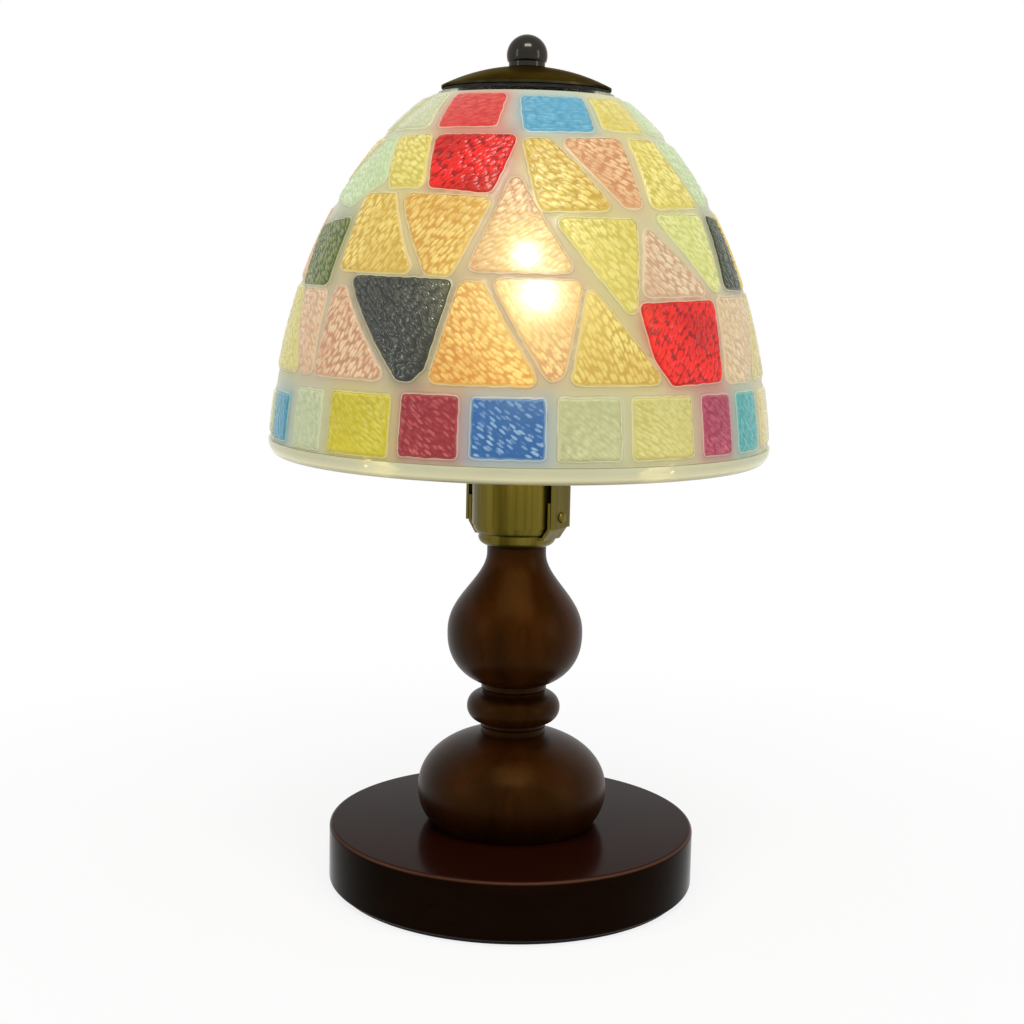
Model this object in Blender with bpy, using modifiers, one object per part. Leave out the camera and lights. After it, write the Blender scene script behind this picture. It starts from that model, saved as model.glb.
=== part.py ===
"""A table lamp with a mosaic glass dome on a turned wooden stand.

Metres, +Z up, the lamp's axis on Z, its foot at Z = 0 and its front towards -Y.
From the bottom: a wooden base on a pad, three turned wooden pieces threaded on a
tube, a brass cup with the lampholder, a harp round the bulb, and on the harp's
stud the shade, its cap and a ball finial.
"""

import bisect
import math

import bmesh
import bpy
from mathutils import Matrix, Vector
from mathutils.geometry import delaunay_2d_cdt

# Fits and facets
CLEARANCE = 0.0003
CUT_OVERRUN = 0.002
MERGE_DISTANCE = 0.000001
LARGE_SIDES = 36
TURNED_SIDES = 28
MIDDLE_SIDES = 20
SMALL_SIDES = 12
SHARP_ANGLE = math.radians(32)

# Tube that threads the stand together
TUBE_RADIUS = 0.005
TUBE_BORE_RADIUS = 0.0035
TUBE_TAIL = 0.0035
TUBE_PLAY = 0.0005
NUT_FLATS = 0.014
NUT_HEIGHT = 0.0035
WASHER_RADIUS = 0.0125
WASHER_THICKNESS = 0.0015

# Base
PAD_RADIUS = 0.0722
PAD_THICKNESS = 0.0016
BASE_RADIUS = 0.075
BASE_HEIGHT = 0.0235
BASE_TOP_ROUND = 0.003
BASE_FOOT_ROUND = 0.0012
RECESS_RADIUS = 0.017
RECESS_DEPTH = 0.012
SPIGOT_RADIUS = 0.0095
SPIGOT_HEIGHT = 0.0035

# Cord inlet at the back of the base
INLET_RADIUS = 0.005
INLET_RISE = 0.0066
BUSHING_WALL = 0.0012
BUSHING_FLANGE_WIDTH = 0.0016
BUSHING_FLANGE_THICKNESS = 0.0015
BUSHING_DEPTH = 0.011

# Turned wooden pieces
FOOT_HEIGHT = 0.04
FOOT_RADIUS = 0.0388
FOOT_BELLY_RISE = 0.0138
FOOT_SHOULDER_HEIGHT = 0.025
FOOT_FULLNESS = 2.4
NECK_RADIUS = 0.0133
NECK_HEIGHT = 0.0012
RING_HEIGHT = 0.0156
RING_RADIUS = 0.0191
RING_FULLNESS = 2.2
VASE_HEIGHT = 0.059
VASE_RADIUS = 0.0276
VASE_BELLY_RISE = 0.0228
VASE_FULLNESS = 2.3
VASE_TOP_RADIUS = 0.012
VASE_TOP_NECK = 0.003
VASE_SHOULDER_FULLNESS = 1.15
TURNING_STEPS = 4

# Brass below the lampholder
CHECK_HEIGHT = 0.0033
CHECK_RADIUS = 0.0157
CUP_RADIUS = 0.0184
CUP_WALL = 0.001
CUP_HEIGHT = 0.0376
CUP_DISH_RADIUS = 0.0156
CUP_DISH_HEIGHT = 0.0028
CUP_GROOVE_WIDTH = 0.0006
CUP_GROOVE_DEPTH = 0.0006

# Straps of the harp
STRAP_THICKNESS = 0.0012
STRAP_WIDTH = 0.012
HARP_TURN = math.radians(-35)
EAR_PLAY = 0.0004
EAR_HEIGHT = 0.0155
SADDLE_MARGIN = 0.0008
HARP_BELLY_REACH = 0.029
HARP_TOP_HALF = 0.009
HARP_LOW_SHARE = 0.26
HARP_HIGH_SHARE = 0.9
HARP_FOOT_LIFT = 0.0052
HARP_STEPS = 8
RIVET_RADIUS = 0.0011
RIVET_HEAD_RADIUS = 0.0022
RIVET_HEAD_HEIGHT = 0.0009
RIVET_RISE = 0.0042

# Stud at the top of the harp
STUD_RADIUS = 0.003
STUD_TAIL = 0.006
STUD_NUT_FLATS = 0.01
STUD_NUT_HEIGHT = 0.003

# Lampholder
HOLDER_RADIUS = 0.0168
HOLDER_HEIGHT = 0.034
HOLDER_FLOOR = 0.0085
HOLDER_WELL_RADIUS = 0.0126
HOLDER_WELL_DEPTH = 0.0037
HOLDER_WIRE_RADIUS = 0.003
TUBE_REACH = 0.0055
SHELL_RADIUS = 0.0141
SHELL_WALL = 0.0005
SHELL_DROP = 0.0015
TONGUE_WIDTH = 0.005
TONGUE_THICKNESS = 0.0005
TONGUE_ROOT = 0.011
TONGUE_BEND = 0.0075
TONGUE_PRESS = 0.0035
TONGUE_RISE = 0.0014
TONGUE_PIVOT = 0.0092
PIN_RADIUS = 0.0008
PIN_HEAD_RADIUS = 0.0014
PIN_HEAD_HEIGHT = 0.0006
PIN_DEPTH = 0.003
TERMINAL_RADIUS = 0.0012
TERMINAL_HEAD_RADIUS = 0.0022
TERMINAL_HEAD_HEIGHT = 0.0018
TERMINAL_DEPTH = 0.004
TERMINAL_SPREAD = 0.0115

# Bulb
BULB_RADIUS = 0.03
BULB_LENGTH = 0.1038
BULB_WALL = 0.0008
BULB_NECK_RADIUS = 0.0122
BULB_NECK_RISE = 0.016
BULB_CHEEK_DROP = 0.022
BULB_CAP_RADIUS = 0.0131
BULB_CAP_WALL = 0.0005
BULB_CAP_HEIGHT = 0.0205
BULB_CAP_FLANGE = 0.0045
BULB_NECK_SEAT = 0.006
INSULATOR_RADIUS = 0.0098
INSULATOR_FOOT_RADIUS = 0.0052
INSULATOR_HEIGHT = 0.0027
BULB_TIP_RADIUS = 0.0045
BULB_TIP_HEIGHT = 0.001
STEM_FOOT_RADIUS = 0.0105
STEM_FOOT_HEIGHT = 0.003
STEM_RADIUS = 0.004
STEM_TIP_RADIUS = 0.002
STEM_HEIGHT = 0.052
BULB_STEPS = 5

# Shade
SHADE_RADIUS = 0.1
SHADE_HEIGHT = 0.1414
SHADE_RIM_RISE = 0.0316
SHADE_HOLE_RADIUS = 0.027
GLASS_WALL = 0.0024
GLASS_LIP_WIDTH = 0.0075
GLASS_LIP_THICKNESS = 0.003
GLASS_LIP_STEP = 0.00215
GLASS_RIM_HEIGHT = 0.0062
GLASS_RIM_ROUND = 0.0043
GLASS_RIM_FOOT = 0.0026
BED_THICKNESS = 0.0033
BED_TOP_DROP = 0.0006
TILE_RELIEF = 0.0008
TILE_BEVEL = 0.001
POCKET_DEPTH = 0.0013
POCKET_SLOPE = 0.0005
GLUE_LINE = 0.0004
TILE_STEP = 0.017
LATTICE_STEP = 0.017
LATTICE_MARGIN = 0.003
BAND_ROWS = 8

# Support, cap and finial
SUPPORT_WIDTH = 0.004
SUPPORT_HUB_RADIUS = 0.012
SUPPORT_SLOPE_RADIUS = 0.021
SUPPORT_DISH = 0.0012
SUPPORT_THICKNESS = 0.0012
GROMMET_FLANGE = 0.0011
GROMMET_LIP = 0.0012
GASKET_INSET = 0.0004
GASKET_WIDTH = 0.0045
GASKET_THICKNESS = 0.0012
CAP_RADIUS = 0.0333
CAP_WALL = 0.001
CAP_RISE = 0.009
CAP_EDGE = 0.0009
CAP_STEPS = 4
COLLAR_RADIUS = 0.0071
COLLAR_HEIGHT = 0.001
BALL_RADIUS = 0.008
BALL_CUT = 0.0026
BALL_BORE_DEPTH = 0.007
BALL_STEPS = 8

# The dome's outline is one rounded curve, in shares of the shade's height and radius
DOME_START_SHARE = 0.147
DOME_SWELL_SHARE = 1.0087
DOME_UP_FULLNESS = 2.16
DOME_OUT_FULLNESS = 1.87
DOME_SAMPLES = 400

# Levels, from the pad upwards
BASE_BOTTOM = PAD_THICKNESS + CLEARANCE
BASE_TOP = BASE_BOTTOM + BASE_HEIGHT
FOOT_BOTTOM = BASE_TOP + CLEARANCE
FOOT_TOP = FOOT_BOTTOM + FOOT_HEIGHT
RING_BOTTOM = FOOT_TOP + CLEARANCE
RING_TOP = RING_BOTTOM + RING_HEIGHT
VASE_BOTTOM = RING_TOP + CLEARANCE
VASE_TOP = VASE_BOTTOM + VASE_HEIGHT
CHECK_BOTTOM = VASE_TOP + CLEARANCE
CHECK_TOP = CHECK_BOTTOM + CHECK_HEIGHT
SADDLE_BOTTOM = CHECK_TOP + CLEARANCE
SADDLE_TOP = SADDLE_BOTTOM + STRAP_THICKNESS
CUP_BOTTOM = SADDLE_TOP + CLEARANCE
CUP_FLOOR = CUP_BOTTOM + CUP_WALL
CUP_TOP = CUP_BOTTOM + CUP_HEIGHT
CUP_NUT_BOTTOM = CUP_FLOOR + CLEARANCE
HOLDER_BOTTOM = CUP_NUT_BOTTOM + NUT_HEIGHT + CLEARANCE
HOLDER_TOP = HOLDER_BOTTOM + HOLDER_HEIGHT
HOLDER_SEAT = HOLDER_BOTTOM + HOLDER_FLOOR
TUBE_TOP = HOLDER_BOTTOM + TUBE_REACH
TONGUE_BOTTOM = HOLDER_SEAT + CLEARANCE
BULB_BOTTOM = TONGUE_BOTTOM + TONGUE_RISE + TONGUE_THICKNESS + CLEARANCE
INSULATOR_BOTTOM = BULB_BOTTOM + BULB_TIP_HEIGHT + CLEARANCE
BULB_CAP_BOTTOM = INSULATOR_BOTTOM + INSULATOR_HEIGHT + CLEARANCE
BULB_CAP_TOP = BULB_CAP_BOTTOM + BULB_CAP_HEIGHT
BULB_TOP = BULB_BOTTOM + BULB_LENGTH
RIM_BOTTOM = CUP_BOTTOM + SHADE_RIM_RISE
BED_BOTTOM = RIM_BOTTOM + GLASS_RIM_HEIGHT + CLEARANCE
LIP_TOP = RIM_BOTTOM + SHADE_HEIGHT
BED_TOP = LIP_TOP - BED_TOP_DROP
LIP_BOTTOM = LIP_TOP - GLASS_LIP_THICKNESS
GROMMET_TOP = LIP_BOTTOM - CLEARANCE
GROMMET_BOTTOM = GROMMET_TOP - GROMMET_FLANGE
SUPPORT_TOP = GROMMET_BOTTOM - CLEARANCE
HUB_TOP = SUPPORT_TOP - SUPPORT_DISH
HUB_BOTTOM = HUB_TOP - SUPPORT_THICKNESS
HARP_TOP = HUB_BOTTOM - CLEARANCE
HARP_UNDERSIDE = HARP_TOP - STRAP_THICKNESS
GASKET_BOTTOM = LIP_TOP + CLEARANCE
CAP_BOTTOM = GASKET_BOTTOM + GASKET_THICKNESS + CLEARANCE
CAP_TOP = CAP_BOTTOM + CAP_RISE
COLLAR_BOTTOM = CAP_TOP + CLEARANCE
BALL_BOTTOM = COLLAR_BOTTOM + COLLAR_HEIGHT + CLEARANCE
BALL_CENTRE = BALL_BOTTOM + BALL_CUT
STUD_TOP = BALL_BOTTOM + BALL_BORE_DEPTH - CLEARANCE

# Radii that follow from a neighbour's
TUBE_HOLE_RADIUS = TUBE_RADIUS + TUBE_PLAY
NUT_HOLE_RADIUS = TUBE_RADIUS + CLEARANCE
STUD_HOLE_RADIUS = STUD_RADIUS + CLEARANCE
EAR_ACROSS = CUP_RADIUS + EAR_PLAY + STRAP_THICKNESS / 2
HARP_FOOT_ACROSS = EAR_ACROSS + STRAP_THICKNESS + CLEARANCE
GLASS_LIP_RADIUS = SHADE_HOLE_RADIUS + GLASS_LIP_WIDTH
DOME_TOP_SHARE = (GLASS_LIP_RADIUS + GLASS_LIP_STEP) / (SHADE_RADIUS * DOME_SWELL_SHARE)
DOME_REACH_SHARE = (1 - DOME_TOP_SHARE**DOME_OUT_FULLNESS) ** (1 / DOME_UP_FULLNESS)
DOME_SPAN_SHARE = (1 + DOME_START_SHARE) / DOME_REACH_SHARE

# The mosaic repeats after half a turn. Tiles are listed for the front half, as corners
# in degrees from the front and shares of the way up the dome, against the clock.
HALF_TURN_ANGLE = 180
SEAM_SHARES = (
    (-90, 0), (-90, 0.177), (-84, 0.18), (-93, 0.425), (-86, 0.655), (-92, 0.83), (-90, 0.84), (-90, 1),
)
SKIRT_SHARES = (0.012, 0.163)
SKIRT_TURNS = {
    "clear": (-88, -76), "azure": (-73.5, -61.5), "jade": (-59.5, -47), "yellow": (-45, -28),
    "crimson": (-26, -12.5), "blue": (-10.5, 5.5), "sand": (7.5, 21.5), "straw": (23.5, 39.5),
    "magenta": (42, 52.5), "teal": (55, 66), "honey": (68.5, 87.5),
}
TILE_SHARES = {
    "waist_straw": ((-81, 0.19), (-61, 0.19), (-71.5, 0.395), (-88.5, 0.4)),
    "waist_shell": ((-58.5, 0.19), (-54, 0.19), (-55, 0.39), (-69, 0.39)),
    "waist_rose": ((-52, 0.19), (-30.5, 0.19), (-47.5, 0.4), (-51, 0.4)),
    "waist_green": ((-27, 0.192), (-24, 0.192), (-21.5, 0.22), (-17, 0.425), (-46, 0.43)),
    "waist_amber": ((-19.5, 0.19), (3.5, 0.19), (-9.5, 0.42), (-14.5, 0.42)),
    "waist_cream": ((6, 0.2), (8.5, 0.21), (13.5, 0.428), (-7, 0.43)),
    "waist_yellow": ((11, 0.19), (32.5, 0.19), (16, 0.4)),
    "waist_red": ((30.5, 0.25), (34.5, 0.19), (50, 0.195), (52, 0.385), (28, 0.375)),
    "waist_blush": ((52.5, 0.19), (64, 0.19), (76, 0.39), (54.5, 0.39)),
    "waist_honey": ((67, 0.19), (93, 0.19), (84.5, 0.4), (79, 0.4)),
    "belly_shell": ((-75, 0.415), (-82, 0.57), (-85.5, 0.625), (-90, 0.445)),
    "belly_moss": ((-72, 0.41), (-56, 0.41), (-56, 0.58), (-79, 0.56)),
    "belly_yellow": ((-51.5, 0.45), (-28, 0.445), (-40.5, 0.645), (-53, 0.645)),
    "belly_amber": ((-23.5, 0.445), (-18, 0.44), (-9.5, 0.635), (-36.5, 0.645)),
    "belly_rose": ((-13, 0.455), (12, 0.455), (-1.5, 0.69), (-4, 0.69)),
    "belly_lemon": ((26, 0.345), (31, 0.585), (8.5, 0.585)),
    "belly_shell_right": ((29.5, 0.4), (51, 0.405), (34, 0.57)),
    "belly_lime": ((54, 0.415), (57.5, 0.42), (59.5, 0.605), (38.5, 0.6)),
    "belly_forest": ((60.5, 0.42), (75, 0.415), (75, 0.6), (65, 0.605)),
    "belly_gold": ((78, 0.415), (84.5, 0.43), (91, 0.625), (78, 0.61)),
    "shoulder_honey": ((-86, 0.68), (-67, 0.825), (-89, 0.82)),
    "shoulder_mint": ((-82, 0.65), (-60.5, 0.62), (-48, 0.69), (-57.5, 0.82), (-62.5, 0.82)),
    "shoulder_yellow": ((-44, 0.67), (-31.5, 0.67), (-37.5, 0.82), (-54.5, 0.82)),
    "shoulder_red": ((-28.5, 0.67), (-10, 0.655), (-3.5, 0.82), (-34, 0.82)),
    "shoulder_amber": ((4.5, 0.61), (24.5, 0.615), (16.5, 0.73), (8, 0.808), (-0.5, 0.808)),
    "shoulder_peach": ((29.5, 0.625), (34.5, 0.625), (36, 0.82), (13, 0.81)),
    "shoulder_lemon": ((39, 0.625), (61, 0.635), (55, 0.82), (41.5, 0.82)),
    "shoulder_mint_right": ((65, 0.64), (91, 0.665), (84.5, 0.82), (59, 0.82)),
    "crown_amber": ((-87, 0.85), (-71, 0.85), (-64, 0.98), (-87, 0.98)),
    "crown_clear": ((-67, 0.85), (-41.5, 0.85), (-47, 0.98), (-59.5, 0.98)),
    "crown_pink": ((-37, 0.85), (-11.5, 0.85), (-10, 0.978), (-40.5, 0.98)),
    "crown_sky": ((-0.5, 0.835), (27, 0.84), (30, 0.968), (-3, 0.968)),
    "crown_yellow": ((31.5, 0.85), (53.5, 0.85), (58.5, 0.98), (34.5, 0.97)),
    "crown_mint": ((58, 0.85), (86, 0.85), (86, 0.98), (63.5, 0.98)),
}
# Strongly coloured tiles are pieces of their own, laid in pockets of the bed: the colour
# of the front one and of its fellow at the back
LOOSE_TILES = {
    "skirt_yellow": ("yellow", "teal"), "skirt_crimson": ("crimson", "blue"),
    "skirt_blue": ("blue", "crimson"), "skirt_magenta": ("magenta", "yellow"),
    "skirt_teal": ("teal", "magenta"), "waist_green": ("moss", "sky"),
    "waist_red": ("red", "moss"), "shoulder_red": ("red", "blue"),
    "crown_pink": ("pink", "sky"), "crown_sky": ("sky", "pink"),
}


def dome_radius(height):
    """Radius of the shade's outer curve at a height."""
    share = (height - RIM_BOTTOM) / SHADE_HEIGHT
    reach = (share + DOME_START_SHARE) / DOME_SPAN_SHARE
    return SHADE_RADIUS * DOME_SWELL_SHARE * (1 - reach**DOME_UP_FULLNESS) ** (1 / DOME_OUT_FULLNESS)


def dome_table():
    """Heights of the mosaic's band and the length of the curve up to each."""
    heights = [BED_BOTTOM + (BED_TOP - BED_BOTTOM) * step / DOME_SAMPLES for step in range(DOME_SAMPLES + 1)]
    lengths = [0]
    for low, high in zip(heights, heights[1:]):
        lengths.append(lengths[-1] + math.hypot(high - low, dome_radius(high) - dome_radius(low)))
    return heights, lengths


BAND_HEIGHTS, BAND_LENGTHS = dome_table()
BAND_LENGTH = BAND_LENGTHS[-1]


def dome_profile(share, depth):
    """Radius and height of a point at a share of the band's length, so deep under its surface."""
    length = share * BAND_LENGTH
    step = min(max(bisect.bisect_left(BAND_LENGTHS, length), 1), DOME_SAMPLES)
    before, after = BAND_LENGTHS[step - 1], BAND_LENGTHS[step]
    low, high = BAND_HEIGHTS[step - 1], BAND_HEIGHTS[step]
    height = low + (high - low) * (length - before) / (after - before)
    slope = (dome_radius(high) - dome_radius(low)) / (high - low)
    steep = math.hypot(1, slope)
    return dome_radius(height) - depth / steep, height + depth * slope / steep


def dome_point(turn, share, depth):
    """Point of the dome, its turn in degrees from the front."""
    radius, height = dome_profile(share, depth)
    angle = math.radians(turn)
    return Vector((radius * math.sin(angle), -radius * math.cos(angle), height))


def arc(centre, radius, start, end, steps):
    """Points of an arc, or of a quarter ellipse where the radius is a pair; angles in degrees."""
    across, up = radius if isinstance(radius, tuple) else (radius, radius)
    angles = [math.radians(start + (end - start) * step / steps) for step in range(steps + 1)]
    return [(centre[0] + across * math.cos(angle), centre[1] + up * math.sin(angle)) for angle in angles]


def bezier(points, steps):
    """Points of a cubic curve from its four control points."""
    curve = []
    for step in range(steps + 1):
        t = step / steps
        weights = ((1 - t) ** 3, 3 * t * (1 - t) ** 2, 3 * t * t * (1 - t), t**3)
        curve.append(tuple(sum(w * p[axis] for w, p in zip(weights, points)) for axis in (0, 1)))
    return curve


def beside(path, distance, closed=False):
    """The path moved sideways to its left, with mitred corners."""
    count = len(path)
    moved = []
    for index, point in enumerate(path):
        before = path[index - 1] if closed or index > 0 else None
        after = path[(index + 1) % count] if closed or index < count - 1 else None
        sides = []
        if before:
            sides.append((Vector(point) - Vector(before)).normalized())
        if after:
            sides.append((Vector(after) - Vector(point)).normalized())
        normals = [Vector((-side.y, side.x)) for side in sides]
        mitre = (normals[0] + normals[-1]).normalized()
        moved.append(tuple(Vector(point) + mitre * distance / mitre.dot(normals[0])))
    return moved


def swell(rise, half_height, fullness):
    """Share of the radius that a belly has so far above or below its widest place."""
    share = min(abs(rise) / half_height, 1)
    return (1 - share**fullness) ** (1 / fullness)


def collection(name):
    made = bpy.data.collections.new(name)
    bpy.context.scene.collection.children.link(made)
    return made


def finish(name, colour, roughness, metallic=0, alpha=1):
    """A plain material."""
    made = bpy.data.materials.new(name)
    made.use_nodes = True
    shader = made.node_tree.nodes["Principled BSDF"]
    shader.inputs["Base Color"].default_value = (*colour, 1)
    shader.inputs["Roughness"].default_value = roughness
    shader.inputs["Metallic"].default_value = metallic
    shader.inputs["Alpha"].default_value = alpha
    return made


def keep(name, mesh, material, parent=None):
    """Adds a piece of the lamp."""
    mesh.name = name
    mesh.materials.clear()
    mesh.materials.append(material)
    piece = bpy.data.objects.new(name, mesh)
    PIECES.objects.link(piece)
    piece.parent = parent
    return piece


def spin(piece, sides):
    """Turns the piece's outline about its Z axis."""
    screw = piece.modifiers.new("Turn", "SCREW")
    screw.steps = sides
    screw.render_steps = sides
    screw.use_merge_vertices = True
    screw.merge_threshold = MERGE_DISTANCE


def turned(name, outline, sides, material, parent=None):
    """A turned piece. A closed outline makes a ring, one that starts at the axis a solid."""
    closed = outline[0][0] > 0
    mesh = bpy.data.meshes.new(name)
    points = [(radius, 0, height) for radius, height in outline]
    edges = [(index, index + 1) for index in range(len(points) - 1)]
    if closed:
        edges.append((len(points) - 1, 0))
    mesh.from_pydata(points, edges, [])
    piece = keep(name, mesh, material, parent)
    spin(piece, sides)
    return piece


def hexagon(name, flats, bottom, height, hole_radius, material, parent=None):
    """A nut on the Z axis."""
    shape = bmesh.new()
    corner = flats / math.sqrt(3)
    bmesh.ops.create_cone(shape, cap_ends=True, segments=6, radius1=corner, radius2=corner, depth=height)
    bmesh.ops.translate(shape, verts=shape.verts, vec=(0, 0, bottom + height / 2))
    mesh = bpy.data.meshes.new(name)
    shape.to_mesh(mesh)
    shape.free()
    piece = keep(name, mesh, material, parent)
    bore(piece, hole_radius, (0, 0, bottom + height / 2), height + CUT_OVERRUN)
    return piece


def bore(piece, radius, centre, length, direction=(0, 0, 1)):
    """Drills a round hole along a direction."""
    shape = bmesh.new()
    bmesh.ops.create_cone(
        shape, cap_ends=True, segments=SMALL_SIDES, radius1=radius, radius2=radius, depth=length
    )
    mesh = bpy.data.meshes.new(piece.name + "_drill")
    shape.to_mesh(mesh)
    shape.free()
    drill = bpy.data.objects.new(mesh.name, mesh)
    DRILLS.objects.link(drill)
    drill.rotation_mode = "QUATERNION"
    drill.rotation_quaternion = Vector((0, 0, 1)).rotation_difference(Vector(direction))
    drill.location = centre
    drill.hide_render = True
    drill.display_type = "WIRE"
    hole = piece.modifiers.new("Hole", "BOOLEAN")
    hole.operation = "DIFFERENCE"
    hole.object = drill


def strap(name, path, thickness, width, material, turn=0, parent=None):
    """A flat strap bent along a path of (across, height), stood up and turned about the Z axis."""
    outline = beside(path, thickness / 2) + beside(path, -thickness / 2)[::-1]
    drawing = bpy.data.curves.new(name, "CURVE")
    drawing.dimensions = "2D"
    drawing.fill_mode = "BOTH"
    drawing.extrude = width / 2
    spline = drawing.splines.new("POLY")
    spline.points.add(len(outline) - 1)
    for point, (across, height) in zip(spline.points, outline):
        point.co = (across, height, 0, 1)
    spline.use_cyclic_u = True
    guide = bpy.data.objects.new(name + "_curve", drawing)
    PIECES.objects.link(guide)
    guide.rotation_euler = (math.radians(90), 0, turn)
    bpy.context.view_layer.update()
    graph = bpy.context.evaluated_depsgraph_get()
    mesh = bpy.data.meshes.new_from_object(guide.evaluated_get(graph))
    shape = bmesh.new()
    shape.from_mesh(mesh)
    bmesh.ops.remove_doubles(shape, verts=shape.verts, dist=MERGE_DISTANCE)
    shape.to_mesh(mesh)
    shape.free()
    piece = keep(name, mesh, material, parent)
    piece.matrix_world = guide.matrix_world.copy()
    bpy.data.objects.remove(guide)
    return piece


def from_faces(name, faces, material, parent=None):
    """A piece from the faces of its surface, joined where they meet."""
    shape = bmesh.new()
    for face in faces:
        shape.faces.new([shape.verts.new(point) for point in face])
    bmesh.ops.remove_doubles(shape, verts=shape.verts, dist=MERGE_DISTANCE)
    bmesh.ops.recalc_face_normals(shape, faces=shape.faces)
    if shape.calc_volume(signed=True) < 0:
        bmesh.ops.reverse_faces(shape, faces=shape.faces)
    mesh = bpy.data.meshes.new(name)
    shape.to_mesh(mesh)
    shape.free()
    return keep(name, mesh, material, parent)


def settle(piece):
    """Makes the piece's modifiers its mesh, and shades it smooth between sharp edges."""
    graph = bpy.context.evaluated_depsgraph_get()
    mesh = bpy.data.meshes.new_from_object(piece.evaluated_get(graph))
    piece.modifiers.clear()
    mesh.name = piece.name
    piece.data = mesh
    mesh.shade_smooth()
    mesh.set_sharp_from_angle(angle=SHARP_ANGLE)


def axis_empty(name, location=(0, 0, 0)):
    """An empty that marks the axis of a moving piece."""
    empty = bpy.data.objects.new(name, None)
    PIECES.objects.link(empty)
    empty.location = location
    return empty


# Pieces of the stand


def make_base():
    turned(
        "base_pad", [(0, PAD_THICKNESS), (PAD_RADIUS, PAD_THICKNESS), (PAD_RADIUS, 0), (0, 0)], LARGE_SIDES, FELT
    )
    seat = BASE_TOP - SPIGOT_HEIGHT - CLEARANCE
    recess_top = BASE_BOTTOM + RECESS_DEPTH
    top_round = arc(
        (BASE_RADIUS - BASE_TOP_ROUND, BASE_TOP - BASE_TOP_ROUND), BASE_TOP_ROUND, 90, 0, 4
    )
    foot_round = arc(
        (BASE_RADIUS - BASE_FOOT_ROUND, BASE_BOTTOM + BASE_FOOT_ROUND), BASE_FOOT_ROUND, 0, -90, 2
    )
    outline = [(TUBE_HOLE_RADIUS, seat), (SPIGOT_RADIUS + CLEARANCE, seat), (SPIGOT_RADIUS + CLEARANCE, BASE_TOP)]
    outline += top_round + foot_round
    outline += [(RECESS_RADIUS, BASE_BOTTOM), (RECESS_RADIUS, recess_top), (TUBE_HOLE_RADIUS, recess_top)]
    base = turned("base_disc", outline, LARGE_SIDES, MAHOGANY)
    length = BASE_RADIUS - RECESS_RADIUS / 2 + CUT_OVERRUN
    middle = (RECESS_RADIUS / 2 + BASE_RADIUS + CUT_OVERRUN) / 2
    bore(base, INLET_RADIUS, (0, middle, BASE_BOTTOM + INLET_RISE), length, (0, 1, 0))
    washer_top = recess_top - CLEARANCE
    washer_bottom = washer_top - WASHER_THICKNESS
    turned(
        "base_washer",
        [(NUT_HOLE_RADIUS, washer_top), (WASHER_RADIUS, washer_top), (WASHER_RADIUS, washer_bottom),
         (NUT_HOLE_RADIUS, washer_bottom)],
        SMALL_SIDES, STEEL,
    )
    hexagon("base_nut", NUT_FLATS, washer_bottom - CLEARANCE - NUT_HEIGHT, NUT_HEIGHT, NUT_HOLE_RADIUS, STEEL)


def make_tube():
    turned(
        "centre_tube",
        [(TUBE_BORE_RADIUS, TUBE_TOP), (TUBE_RADIUS, TUBE_TOP), (TUBE_RADIUS, TUBE_TAIL),
         (TUBE_BORE_RADIUS, TUBE_TAIL)],
        SMALL_SIDES, STEEL,
    )


def make_cord_bushing():
    """The sleeve that lines the cord's way out at the back of the base."""
    sleeve = INLET_RADIUS - CLEARANCE
    hole = sleeve - BUSHING_WALL
    flange = INLET_RADIUS + BUSHING_FLANGE_WIDTH
    inside = BASE_RADIUS - BUSHING_DEPTH
    seat = BASE_RADIUS + CLEARANCE
    outside = seat + BUSHING_FLANGE_THICKNESS
    bushing = turned(
        "cord_bushing",
        [(hole, outside), (flange, outside), (flange, seat), (sleeve, seat), (sleeve, inside), (hole, inside)],
        SMALL_SIDES, BLACK_PLASTIC,
    )
    bushing.rotation_euler = (math.radians(-90), 0, 0)
    bushing.location = (0, 0, BASE_BOTTOM + INLET_RISE)


def spigot_above(level):
    """The stepped end that enters the next piece."""
    return [
        (TUBE_HOLE_RADIUS, level + SPIGOT_HEIGHT),
        (SPIGOT_RADIUS, level + SPIGOT_HEIGHT),
        (SPIGOT_RADIUS, level),
    ]


def socket_below(level):
    """The hole that takes the last piece's stepped end."""
    return [
        (SPIGOT_RADIUS + CLEARANCE, level),
        (SPIGOT_RADIUS + CLEARANCE, level + SPIGOT_HEIGHT + CLEARANCE),
        (TUBE_HOLE_RADIUS, level + SPIGOT_HEIGHT + CLEARANCE),
    ]


def make_foot():
    """The squat ball that stands on the base."""
    belly = FOOT_BOTTOM + FOOT_BELLY_RISE
    shoulder = FOOT_SHOULDER_HEIGHT * swell(NECK_RADIUS, FOOT_RADIUS, FOOT_FULLNESS)
    outline = spigot_above(FOOT_TOP) + [(NECK_RADIUS, FOOT_TOP), (NECK_RADIUS, FOOT_TOP - NECK_HEIGHT)]
    for step in range(2 * TURNING_STEPS + 1):
        angle = math.radians(90 * step / (2 * TURNING_STEPS))
        rise = shoulder * math.cos(angle)
        outline.append((FOOT_RADIUS * swell(rise, FOOT_SHOULDER_HEIGHT, FOOT_FULLNESS), belly + rise))
    for step in range(1, 4):
        drop = FOOT_BELLY_RISE * step / 3
        outline.append((FOOT_RADIUS * swell(drop, FOOT_SHOULDER_HEIGHT, FOOT_FULLNESS), belly - drop))
    outline += [
        (SPIGOT_RADIUS, FOOT_BOTTOM),
        (SPIGOT_RADIUS, FOOT_BOTTOM - SPIGOT_HEIGHT),
        (TUBE_HOLE_RADIUS, FOOT_BOTTOM - SPIGOT_HEIGHT),
    ]
    turned("column_foot", outline, TURNED_SIDES, WALNUT)


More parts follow.
